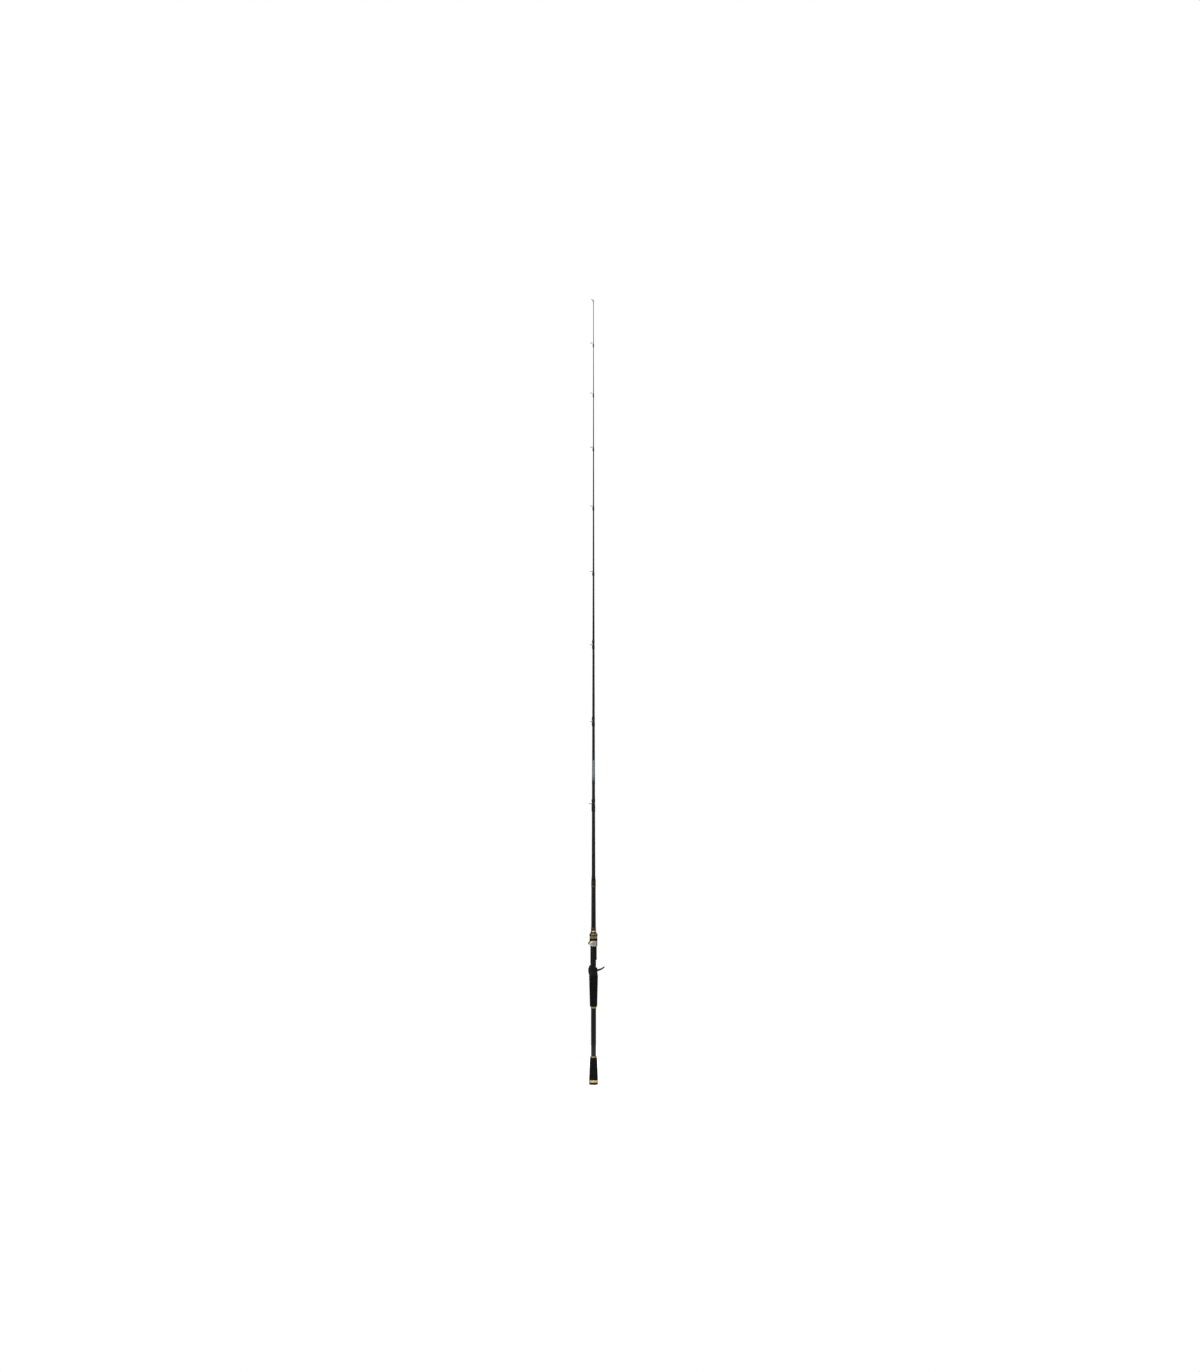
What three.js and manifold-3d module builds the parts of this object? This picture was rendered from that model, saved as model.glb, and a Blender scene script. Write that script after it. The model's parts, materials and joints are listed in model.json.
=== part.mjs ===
// A two-piece baitcasting fishing rod with a trigger reel seat and a split grip.
// Millimetres. The rod stands on its butt: +Z runs from the butt to the tip, the guides and the
// reel are on the -X side and the finger trigger is on the +X side.
import * as THREE from "three";
import { mergeVertices } from "three/addons/utils/BufferGeometryUtils.js";
import Module from "manifold-3d";

const wasm = await Module();
wasm.setup();

// ---------------------------------------------------------------- driving dimensions
const ROD_LENGTH = 2134; // butt face to the far side of the tip ring
const BUTT_SECTION_END = 557; // mouth of the ferrule socket
const FERRULE_DEPTH = 100; // length of the tip section that sits in the socket

const BUTT_BLANK_RADIUS = 6.9; // the carbon tube through the handle
const BUTT_BLANK_WALL = 1.2;
const TAPER_START = 330; // the tube is parallel up to here
const FORE_BLANK_RADIUS = 6.3; // in front of the reel seat
const FORE_BLANK_STATION = 427;
const SOCKET_WALL = 0.67; // at the mouth of the ferrule socket
const TIP_BLANK_RADIUS = 5.0; // at the ferrule
const TIP_BLANK_WALL = 0.9;
const TIP_BORE_LENGTH = 700; // how far up the tip section stays hollow
const TIP_END_RADIUS = 0.8;
const TIP_TAPER_POWER = 1.35; // 1 is a straight taper, more is slimmer in the middle

const GAP = 0.3; // along the rod between two pieces
const FIT = 0.1; // radial, between a piece and what it is glued over
const RUN = 0.08; // radial, between a sliding piece and its guide

const CAP_LENGTH = 5.7;
const CAP_RADIUS = 12.2;
const CAP_FOOT_RADIUS = 8.5; // the flat the rod stands on
const CAP_DOME_SHARE = 0.8; // of the cap's length that is rounded
const CAP_PLUG_LENGTH = 14;
const CAP_RING_LENGTH = 6;
const CAP_RING_RADIUS = 12.9;
const BUTT_GRIP_LENGTH = 60.7;
const BUTT_GRIP_REAR_RADIUS = 12.2;
const BUTT_GRIP_FRONT_RADIUS = 9.7;
const CHECK_LENGTH = 4.2; // the winding checks at the ends of the two grips
const CHECK_WALL = 2.1;
const SPLIT_LENGTH = 129.9; // bare blank between the two grips
const REAR_CHECK_WALL = 1.2;
const REAR_GRIP_LENGTH = 84.7;
const REAR_GRIP_REAR_RADIUS = 10.1;
const REAR_GRIP_FRONT_RADIUS = 12.2;

const SEAT_LENGTH = 113.6;
const SEAT_WALL = 1.45; // of the round barrel
const ARBOR_WALL = 0.4;
const ARBOR_INSET = 2; // from the end of the seat or of the window
const SEAT_REAR_RADIUS = 12;
const SEAT_WAIST_RADIUS = 10.2; // behind the trigger
const SEAT_NECK = [0.4, 0.7]; // this far along to the waist, the radius has come down this far
const SEAT_HOOD_LENGTH = 18.6; // rear hood, from the back of the seat to its lip
const SEAT_HOOD_HEIGHT = 14.5; // from the rod's axis
const SEAT_HOOD_HALF_WIDTH = 10.8;
const HOOD_WALL = 1.2;
const HOOD_LINER_WALL = 0.4;
const SEAT_HOOD_RISE = 10.5; // the hood reaches its height this far from the back of the seat
const SEAT_HOOD_SWELL = [0.55, 0.75]; // this far along its rise, the hood has risen this far
const SEAT_POCKET_DEPTH = 9.2; // for the reel foot, behind the lip
const CHEEK_LENGTH = 15; // the side walls slope down from the lip to the deck
const CHEEK_SLOPE = [0.25, 0.45, 0.65, 0.85]; // along and down, then again along and down
const DECK_DROP = 0.35; // the reel deck is a flat this far below the round barrel
const POCKET_DROP = 0.65; // the floor of the rear pocket is lower still
const WINDOW_START = 20.5; // the blank shows on the trigger side, from the back of the seat
const WINDOW_LENGTH = 21.2;
const WINDOW_EDGE = 2; // how far beyond the axis the opening starts
const DECK_END = 78.7;
const KEYWAY_WIDTH = 3;
const KEYWAY_DEPTH = 0.8;
const KEYWAY_START = 48;

const TRIGGER_REACH = 29.6; // middle of the trigger's tip from the axis
const TRIGGER_ROOT = 12; // from the back of the seat
const TRIGGER_RISE = 10.2; // how far the tip is in front of the root
const TRIGGER_STRAIGHT = 0.6; // of its reach, before it curls forward
const TRIGGER_CORNER = 0.25; // of the tip's width, taken off each corner
const TRIGGER_ROOT_THICKNESS = 5.2;
const TRIGGER_TIP_THICKNESS = 2.6;
const TRIGGER_ROOT_WIDTH = 12;
const TRIGGER_TIP_WIDTH = 8.5;

const HOOD_START = 79; // the moving hood, from the back of the seat
const HOOD_LENGTH = 14.6;
const HOOD_SLEEVE_WALL = 1.57;
const HOOD_HEIGHT = 15;
const HOOD_HALF_WIDTH = 10.9;
const HOOD_POCKET_DEPTH = 10.2;
const HOOD_LIP = 5.4; // from the mouth at the deck to the lip of the hood
const HOOD_BACK = 4.4; // the hood slopes down to its sleeve over this length
const HOOD_BROW = [0.4, 0.55]; // this far along from the mouth, the hood has risen this far
const HOOD_NAPE = [0.6, 0.4]; // this far along its back, the hood has come down this far

const NUT_CORE_WALL = 0.75;
const NUT_REAR_COLLAR_LENGTH = 5.6;
const NUT_REAR_COLLAR_WALL = 0.9;
const NUT_BAND_LENGTH = 6;
const NUT_BAND_WALL = 0.65;
const NUT_GRIP_LENGTH = 5.6;
const NUT_GRIP_WALL = 1.3;
const NUT_GRIP_FLUTES = 20;
const NUT_FLUTE_DEPTH = 0.35;
const NUT_FRONT_RING_LENGTH = 1.2;
const NUT_FRONT_RING_WALL = 1.05;

const END_CONE_LENGTH = 3.5;
const END_CONE_FRONT_WALL = 1.1;
const FORE_CHECK_LENGTH = 3.2;
const FORE_CHECK_REAR_WALL = 1.8;
const FORE_CHECK_FRONT_WALL = 0.6;
const FORE_WRAP_LENGTH = 8.8;
const WRAP_WALL = 0.35; // thread under its epoxy
const WRAP_SHOULDER = 1; // the epoxy feathers out over this length

const WRAP_MARGIN = 1.4; // from a guide's neck or leg to the nearest turn of thread
const FERRULE_WRAP_LENGTH = 18;
const FERRULE_RING_LENGTH = 2.4;
const FERRULE_RING_WALL = 0.45;
const STOP_WRAP_LENGTH = 8;

const LABEL_START = 259; // from the ferrule mouth
const LABEL_LENGTH = 65;
const LABEL_WALL = 0.2;

// Guide spacing from the tip down, as parts of the guided length.
const GUIDE_STEPS = [120, 136, 147, 160, 178, 199, 209, 223];
const STRIPPER_FROM_FERRULE = 205;
const GUIDE_TILT = 0.14; // radians, the ring leans towards the tip
const DOUBLE_FOOT_GUIDES = 3; // counted from the ferrule
const STRIPPER_HOOP_RADIUS = 4.3;
const STRIPPER_NECK = 0.45; // from the blank to the near side of the hoop
const STRIPPER_FOOT_LENGTH = 20;
const RUNNER_HOOP_RADIUS = 3.2;
const RUNNER_NECK = 1; // at the first runner
const RUNNER_NECK_RISE = 0.17; // each runner stands this much higher than the last
const FOOT_LENGTH = 11;
const FRONT_FOOT_LENGTH = 8.5;
const FOOT_THICKNESS = 0.7;
const FOOT_TIP_THICKNESS = 0.25;
const FOOT_WIDTH = 2;
const FOOT_SLOPE = 3; // the foot thins over this length
const FRONT_LEG_LENGTH = 4.5; // from the ring to the front foot
const FRAME_THICKNESS = 0.9;
const HOOP_WALL = 0.6;
const NECK_HOOP_SHARE = 0.8; // width of the neck where it meets the hoop
const RING_WALL = 0.6;
const RING_WIDTH = 1.7;
const LEG_RADIUS = 0.45;
const LEG_SPREAD = 1 / 3; // from the middle to each leg, as a share of what they stand on
const LEG_JOINT_ANGLE = 0.65; // radians below the middle of the hoop

const TIP_TUBE_LENGTH = 11;
const TIP_TUBE_WALL = 0.4;
const TIP_TUBE_CROWN = 0.8; // metal over the end of the blank
const TIP_TOP_HOOP_RADIUS = 2.9;
const TIP_TOP_OFFSET = 3.3; // ring centre from the axis
const TIP_TOP_TILT = 0.45;

const ROUND_SIDES = 24;
const SMALL_SIDES = 16;
const WIRE_SIDES = 6;
const TAPER_STATIONS = 16;

// ---------------------------------------------------------------- materials
const finish = (color, roughness, metalness) => () =>
  new THREE.MeshStandardMaterial({ color, roughness, metalness });
const carbon = finish(0x17181a, 0.25, 0);
const foam = finish(0x1b1b1b, 0.9, 0);
const softRubber = finish(0x1a1512, 0.8, 0);
const moulded = finish(0x141414, 0.45, 0);
const goldAluminium = finish(0xb59a5e, 0.3, 1);
const darkGold = finish(0x6b5a36, 0.4, 1);
const brownAluminium = finish(0x2a1c14, 0.35, 1);
const silver = finish(0xb9b6ac, 0.3, 1);
const steel = finish(0x9c9fa3, 0.25, 1);
const blackThread = finish(0x121212, 0.2, 0);
const shim = finish(0x5b5b58, 0.7, 0);
const nylon = finish(0x2b2b2b, 0.6, 0);
const labelGrey = finish(0x70797b, 0.4, 0);
const ceramic = finish(0x3a3d40, 0.15, 0);

// ---------------------------------------------------------------- geometry helpers
const model = new THREE.Group();

function add(name, geometry, material) {
  const mesh = new THREE.Mesh(geometry, material());
  mesh.name = name;
  model.add(mesh);
}

// A body turned about the Z axis from an outline of [radius, z] points. An outline that starts
// and ends on the axis is solid, any other is closed into a ring.
function turned(outline, sides = ROUND_SIDES) {
  const points = outline.map(([radius, z]) => new THREE.Vector2(radius, z));
  const last = points[points.length - 1];
  if (points[0].x > 0 || last.x > 0) points.push(points[0].clone());
  if (THREE.ShapeUtils.area(points) < 0) points.reverse();
  return new THREE.LatheGeometry(points, sides).rotateX(Math.PI / 2);
}

// A round sleeve between two stations, with its own wall at each end.
function sleeve(start, end, innerRadius, startWall, endWall = startWall, sides = ROUND_SIDES) {
  const inner = [end, start].map((z) => [innerRadius(z), z]);
  const outer = [
    [innerRadius(start) + startWall, start],
    [innerRadius(end) + endWall, end],
  ];
  return turned([...outer, ...inner], sides);
}

// A flat plate cut from an outline of [x, z] points, centred on the XZ plane.
function plateXZ(outline, width) {
  const shape = new THREE.Shape(outline.map(([x, z]) => new THREE.Vector2(x, z)));
  const plate = new THREE.ExtrudeGeometry(shape, { depth: width, bevelEnabled: false });
  return plate.rotateX(Math.PI / 2).translate(0, width / 2, 0);
}

// A prism along Z from an outline of [x, y] points.
function prismZ(outline, start, length) {
  const shape = new THREE.Shape(outline.map(([x, y]) => new THREE.Vector2(x, y)));
  const prism = new THREE.ExtrudeGeometry(shape, { depth: length, bevelEnabled: false });
  return prism.translate(0, 0, start);
}

// A round outline. Its corners line up with those of a turned body, so a round cut fits one.
function circle(radius, sides = ROUND_SIDES) {
  const outline = [];
  for (let i = 0; i < sides; i++) {
    const angle = (2 * Math.PI * i) / sides;
    outline.push([radius * Math.sin(angle), radius * Math.cos(angle)]);
  }
  return outline.reverse();
}

// The -X half of a rounded box section, closed along the Y axis.
function hoodSection(height, halfWidth) {
  const squareness = 2.7;
  const steps = 14;
  const outline = [];
  for (let i = 0; i <= steps; i++) {
    const angle = Math.PI / 2 + (Math.PI * i) / steps;
    const x = Math.sign(Math.cos(angle)) * Math.abs(Math.cos(angle)) ** (2 / squareness);
    const y = Math.sign(Math.sin(angle)) * Math.abs(Math.sin(angle)) ** (2 / squareness);
    outline.push([height * x, halfWidth * y]);
  }
  return outline;
}

function block(minX, maxX, width, start, end) {
  const box = new THREE.BoxGeometry(maxX - minX, width, end - start);
  return box.translate((minX + maxX) / 2, 0, (start + end) / 2);
}

function wire(from, to, radius) {
  const span = new THREE.Vector3().subVectors(to, from);
  const rod = new THREE.CylinderGeometry(radius, radius, span.length(), WIRE_SIDES);
  const up = new THREE.Vector3(0, 1, 0);
  const turn = new THREE.Quaternion().setFromUnitVectors(up, span.clone().normalize());
  const middle = new THREE.Vector3().addVectors(from, to).multiplyScalar(1 / 2);
  return rod.applyQuaternion(turn).translate(middle.x, middle.y, middle.z);
}

function solid(geometry) {
  const bare = geometry.clone();
  bare.deleteAttribute("normal");
  bare.deleteAttribute("uv");
  const merged = mergeVertices(bare, 1e-4);
  return new wasm.Manifold(
    new wasm.Mesh({
      numProp: 3,
      vertProperties: new Float32Array(merged.attributes.position.array),
      triVerts: new Uint32Array(merged.index.array),
    }),
  );
}

const join = (...geometries) => geometries.map(solid).reduce((a, b) => a.add(b));
const cut = (body, ...geometries) => geometries.map(solid).reduce((a, b) => a.subtract(b), body);

function geometryOf(body) {
  const { vertProperties, triVerts } = body.getMesh();
  const geometry = new THREE.BufferGeometry();
  geometry.setAttribute("position", new THREE.BufferAttribute(vertProperties, 3));
  geometry.setIndex(new THREE.BufferAttribute(triVerts, 1));
  const faceted = geometry.toNonIndexed();
  faceted.computeVertexNormals();
  return faceted;
}

const mix = (from, to, share) => from + (to - from) * share;

// ---------------------------------------------------------------- the two blanks
const SOCKET_RADIUS = TIP_BLANK_RADIUS + RUN;
const SOCKET_MOUTH_RADIUS = SOCKET_RADIUS + SOCKET_WALL;
const SPIGOT_END = BUTT_SECTION_END - FERRULE_DEPTH;
const TIP_TOP_LEAN = TIP_TOP_HOOP_RADIUS * Math.sin(TIP_TOP_TILT);
const TIP_TOP_CENTRE = ROD_LENGTH - TIP_TOP_LEAN - FRAME_THICKNESS / 2;
const TIP_TUBE_END = TIP_TOP_CENTRE - TIP_TOP_LEAN;
const TIP_END = TIP_TUBE_END - TIP_TUBE_CROWN - GAP;
const BUTT_BLANK_START = CAP_LENGTH + GAP;

// Radius of the butt section at a station.
function buttRadius(z) {
  if (z <= TAPER_START) return BUTT_BLANK_RADIUS;
  if (z <= FORE_BLANK_STATION) {
    const share = (z - TAPER_START) / (FORE_BLANK_STATION - TAPER_START);
    return mix(BUTT_BLANK_RADIUS, FORE_BLANK_RADIUS, share);
  }
  const share = (z - FORE_BLANK_STATION) / (BUTT_SECTION_END - FORE_BLANK_STATION);
  return mix(FORE_BLANK_RADIUS, SOCKET_MOUTH_RADIUS, share);
}

// Radius of the tip section at a station.
function tipRadius(z) {
  const left = Math.max(0, Math.min(1, (TIP_END - z) / (TIP_END - BUTT_SECTION_END)));
  return mix(TIP_END_RADIUS, TIP_BLANK_RADIUS, left ** TIP_TAPER_POWER);
}

function addBlanks() {
  const boreRadius = BUTT_BLANK_RADIUS - BUTT_BLANK_WALL;
  const shoulderRadius = TIP_BLANK_RADIUS - TIP_BLANK_WALL / 2;
  add(
    "butt_blank",
    turned([
      [boreRadius, BUTT_BLANK_START],
      [BUTT_BLANK_RADIUS, BUTT_BLANK_START],
      [BUTT_BLANK_RADIUS, TAPER_START],
      [FORE_BLANK_RADIUS, FORE_BLANK_STATION],
      [SOCKET_MOUTH_RADIUS, BUTT_SECTION_END],
      [SOCKET_RADIUS, BUTT_SECTION_END],
      [SOCKET_RADIUS, SPIGOT_END - GAP],
      [shoulderRadius, SPIGOT_END - GAP],
      [shoulderRadius, FORE_BLANK_STATION],
      [boreRadius, TAPER_START],
    ]),
    carbon,
  );
  const outline = [
    [0, SPIGOT_END + TIP_BORE_LENGTH],
    [TIP_BLANK_RADIUS - TIP_BLANK_WALL, SPIGOT_END],
    [TIP_BLANK_RADIUS, SPIGOT_END],
  ];
  for (let i = 0; i <= TAPER_STATIONS; i++) {
    const z = mix(BUTT_SECTION_END, TIP_END, i / TAPER_STATIONS);
    outline.push([tipRadius(z), z]);
  }
  outline.push([0, TIP_END]);
  add("tip_blank", turned(outline), carbon);
}

// ---------------------------------------------------------------- butt cap and grips
const CAP_RING_START = CAP_LENGTH + GAP;
const BUTT_GRIP_START = CAP_RING_START + CAP_RING_LENGTH + GAP;
const BUTT_CHECK_START = BUTT_GRIP_START + BUTT_GRIP_LENGTH + GAP;
const REAR_CHECK_START = BUTT_CHECK_START + CHECK_LENGTH + SPLIT_LENGTH;
const REAR_GRIP_START = REAR_CHECK_START + CHECK_LENGTH + GAP;
const SEAT_START = REAR_GRIP_START + REAR_GRIP_LENGTH + GAP;
const overButt = (z) => buttRadius(z) + FIT;

function addButtCap() {
  const plugRadius = BUTT_BLANK_RADIUS - BUTT_BLANK_WALL - FIT;
  const outline = [[0, 0]];
  const steps = 5;
  for (let i = 0; i <= steps; i++) {
    const angle = (Math.PI / 2) * (i / steps);
    const radius = mix(CAP_FOOT_RADIUS, CAP_RADIUS, Math.sin(angle));
    outline.push([radius, CAP_LENGTH * CAP_DOME_SHARE * (1 - Math.cos(angle))]);
  }
  outline.push([CAP_RADIUS, CAP_LENGTH]);
  outline.push([plugRadius, CAP_LENGTH]);
  outline.push([plugRadius, CAP_LENGTH + CAP_PLUG_LENGTH]);
  outline.push([0, CAP_LENGTH + CAP_PLUG_LENGTH]);
  add("butt_cap", turned(outline), softRubber);

  const end = CAP_RING_START + CAP_RING_LENGTH;
  const bevel = 0.8;
  add(
    "butt_cap_ring",
    turned([
      [overButt(0), CAP_RING_START],
      [CAP_RING_RADIUS - bevel, CAP_RING_START],
      [CAP_RING_RADIUS, CAP_RING_START + bevel],
      [CAP_RING_RADIUS, end - bevel],
      [CAP_RING_RADIUS - bevel, end],
      [overButt(0), end],
    ]),
    goldAluminium,
  );
}

// A foam grip with eased ends.
function grip(start, length, rearRadius, frontRadius) {
  const ease = 1.2;
  const bore = overButt(start);
  return turned([
    [bore, start],
    [rearRadius - ease / 2, start],
    [rearRadius, start + ease],
    [frontRadius, start + length - ease],
    [frontRadius - ease / 2, start + length],
    [bore, start + length],
  ]);
}

function addGrips() {
  add(
    "butt_grip",
    grip(BUTT_GRIP_START, BUTT_GRIP_LENGTH, BUTT_GRIP_REAR_RADIUS, BUTT_GRIP_FRONT_RADIUS),
    foam,
  );
  add(
    "butt_grip_check",
    sleeve(BUTT_CHECK_START, BUTT_CHECK_START + CHECK_LENGTH, overButt, CHECK_WALL, CHECK_WALL / 2),
    darkGold,
  );
  add(
    "rear_grip_check",
    sleeve(
      REAR_CHECK_START,
      REAR_CHECK_START + CHECK_LENGTH,
      overButt,
      REAR_CHECK_WALL / 2,
      REAR_CHECK_WALL,
    ),
    darkGold,
  );
  add(
    "rear_grip",
    grip(REAR_GRIP_START, REAR_GRIP_LENGTH, REAR_GRIP_REAR_RADIUS, REAR_GRIP_FRONT_RADIUS),
    foam,
  );
}

// ---------------------------------------------------------------- reel seat
const SEAT_END = SEAT_START + SEAT_LENGTH;
const SEAT_BORE = BUTT_BLANK_RADIUS + ARBOR_WALL + 2 * FIT;
const BARREL_RADIUS = SEAT_BORE + SEAT_WALL;
const SEAT_LIP = SEAT_START + SEAT_HOOD_LENGTH;
const CHEEK_END = SEAT_LIP + CHEEK_LENGTH;
const DECK_X = BARREL_RADIUS - DECK_DROP;
const POCKET_X = BARREL_RADIUS - POCKET_DROP;
const POCKET_START = SEAT_LIP - SEAT_POCKET_DEPTH;
const KEYWAY_FLOOR = BARREL_RADIUS - KEYWAY_DEPTH;
const CLEAR = 1; // how far a cutting body runs past what it cuts
const ACROSS = 3; // its width, in half widths of what it cuts

function seatTube() {
  const [neckRun, neckFall] = SEAT_NECK;
  return turned([
    [SEAT_BORE, SEAT_START],
    [SEAT_REAR_RADIUS, SEAT_START],
    [mix(SEAT_REAR_RADIUS, SEAT_WAIST_RADIUS, neckFall), SEAT_START + SEAT_HOOD_LENGTH * neckRun],
    [SEAT_WAIST_RADIUS, SEAT_LIP],
    [BARREL_RADIUS, CHEEK_END],
    [BARREL_RADIUS, SEAT_END],
    [SEAT_BORE, SEAT_END],
  ]);
}

// The raised rear hood and the two cheeks that slope down to the deck.
function seatHood() {
  const [swellRun, swellRise] = SEAT_HOOD_SWELL;
  const [firstRun, firstFall, secondRun, secondFall] = CHEEK_SLOPE;
  const side = plateXZ(
    [
      [0, SEAT_START],
      [-SEAT_REAR_RADIUS, SEAT_START],
      [-mix(SEAT_REAR_RADIUS, SEAT_HOOD_HEIGHT, swellRise), SEAT_START + SEAT_HOOD_RISE * swellRun],
      [-SEAT_HOOD_HEIGHT, SEAT_START + SEAT_HOOD_RISE],
      [-SEAT_HOOD_HEIGHT, SEAT_LIP],
      [-mix(SEAT_HOOD_HEIGHT, BARREL_RADIUS, firstFall), SEAT_LIP + CHEEK_LENGTH * firstRun],
      [-mix(SEAT_HOOD_HEIGHT, BARREL_RADIUS, secondFall), SEAT_LIP + CHEEK_LENGTH * secondRun],
      [-BARREL_RADIUS, CHEEK_END],
      [0, CHEEK_END],
    ],
    SEAT_HOOD_HALF_WIDTH * ACROSS,
  );
  const section = hoodSection(SEAT_HOOD_HEIGHT, SEAT_HOOD_HALF_WIDTH);
  return solid(side).intersect(solid(prismZ(section, SEAT_START, CHEEK_END - SEAT_START)));
}

// A curved finger hook, thicker and wider at its root.
function trigger() {
  const root = SEAT_START + TRIGGER_ROOT;
  const spine = new THREE.QuadraticBezierCurve(
    new THREE.Vector2(SEAT_BORE + SEAT_WALL / 2, root),
    new THREE.Vector2(mix(BARREL_RADIUS, TRIGGER_REACH, TRIGGER_STRAIGHT), root),
    new THREE.Vector2(TRIGGER_REACH, root + TRIGGER_RISE),
  );
  const steps = 8;
  const front = [];
  const back = [];
  for (let i = 0; i <= steps; i++) {
    const share = i / steps;
    const at = spine.getPoint(share);
    const along = spine.getTangent(share);
    const half = mix(TRIGGER_ROOT_THICKNESS, TRIGGER_TIP_THICKNESS, share) / 2;
    front.push([at.x - along.y * half, at.y + along.x * half]);
    back.push([at.x + along.y * half, at.y - along.x * half]);
  }
  const side = plateXZ([...front, ...back.reverse()], TRIGGER_ROOT_WIDTH * 2);
  const rootX = SEAT_BORE;
  const tipX = TRIGGER_REACH + CLEAR;
  const corner = TRIGGER_TIP_WIDTH * TRIGGER_CORNER;
  const plan = prismZ(
    [
      [rootX - CLEAR, -TRIGGER_ROOT_WIDTH / 2],
      [tipX - corner, -TRIGGER_TIP_WIDTH / 2],
      [tipX, -TRIGGER_TIP_WIDTH / 2 + corner],
      [tipX, TRIGGER_TIP_WIDTH / 2 - corner],
      [tipX - corner, TRIGGER_TIP_WIDTH / 2],
      [rootX - CLEAR, TRIGGER_ROOT_WIDTH / 2],
    ],
    root - TRIGGER_ROOT_THICKNESS,
    TRIGGER_RISE + 2 * TRIGGER_ROOT_THICKNESS,
  );
  return solid(side).intersect(solid(plan));
}

function addSeat() {
  const wide = SEAT_HOOD_HALF_WIDTH * ACROSS;
  const windowStart = SEAT_START + WINDOW_START;
  const pocketSection = hoodSection(SEAT_HOOD_HEIGHT - HOOD_WALL, SEAT_HOOD_HALF_WIDTH - HOOD_WALL);
  const pocket = solid(prismZ(pocketSection, POCKET_START, CHEEK_END - POCKET_START + CLEAR));
  const overFloor = block(-SEAT_HOOD_HEIGHT, -POCKET_X, wide, POCKET_START, CHEEK_END);
  const body = solid(seatTube()).add(seatHood()).add(trigger());
  const seat = cut(
    body.subtract(pocket.intersect(solid(overFloor))),
    prismZ(circle(SEAT_BORE), SEAT_START - CLEAR, SEAT_LENGTH + 2 * CLEAR),
    block(-SEAT_HOOD_HEIGHT, -DECK_X, wide, CHEEK_END, SEAT_START + DECK_END),
    block(WINDOW_EDGE, SEAT_REAR_RADIUS, wide, windowStart, windowStart + WINDOW_LENGTH),
    block(
      KEYWAY_FLOOR,
      BARREL_RADIUS + CLEAR,
      KEYWAY_WIDTH,
      SEAT_START + KEYWAY_START,
      SEAT_END + CLEAR,
    ),
  );
  add("seat_body", geometryOf(seat), moulded);

  const liner = hoodLiner(SEAT_HOOD_HEIGHT, SEAT_HOOD_HALF_WIDTH, POCKET_X + FIT);
  const linerLength = SEAT_POCKET_DEPTH - 2 * GAP;
  add("fixed_hood_liner", prismZ(liner, POCKET_START + GAP, linerLength), nylon);
}

// A thin shim that follows the roof and sides of a hood's pocket down to its floor.
function hoodLiner(height, halfWidth, floorX) {
  const outer = HOOD_WALL + FIT;
  const inner = outer + HOOD_LINER_WALL;
  const above = ([x]) => x < -floorX;
  const roof = hoodSection(height - outer, halfWidth - outer).filter(above);
  const underside = hoodSection(height - inner, halfWidth - inner).filter(above);
  return [...roof, ...underside.reverse()];
}

function addArbors() {
  const outerAt = SEAT_BORE - FIT;
  const stretches = [
    ["arbor_rear", SEAT_START + ARBOR_INSET, SEAT_START + WINDOW_START - ARBOR_INSET],
    ["arbor_front", SEAT_START + HOOD_START, SEAT_END - ARBOR_INSET],
  ];
  for (const [name, start, end] of stretches) {
    const startWall = outerAt - overButt(start);
    const endWall = outerAt - overButt(end);
    add(name, sleeve(start, end, overButt, startWall, endWall), shim);
  }
}

// ---------------------------------------------------------------- moving hood
const MOVING_HOOD_START = SEAT_START + HOOD_START;
const MOVING_HOOD_END = MOVING_HOOD_START + HOOD_LENGTH;
const HOOD_BORE = BARREL_RADIUS + RUN;

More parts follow.
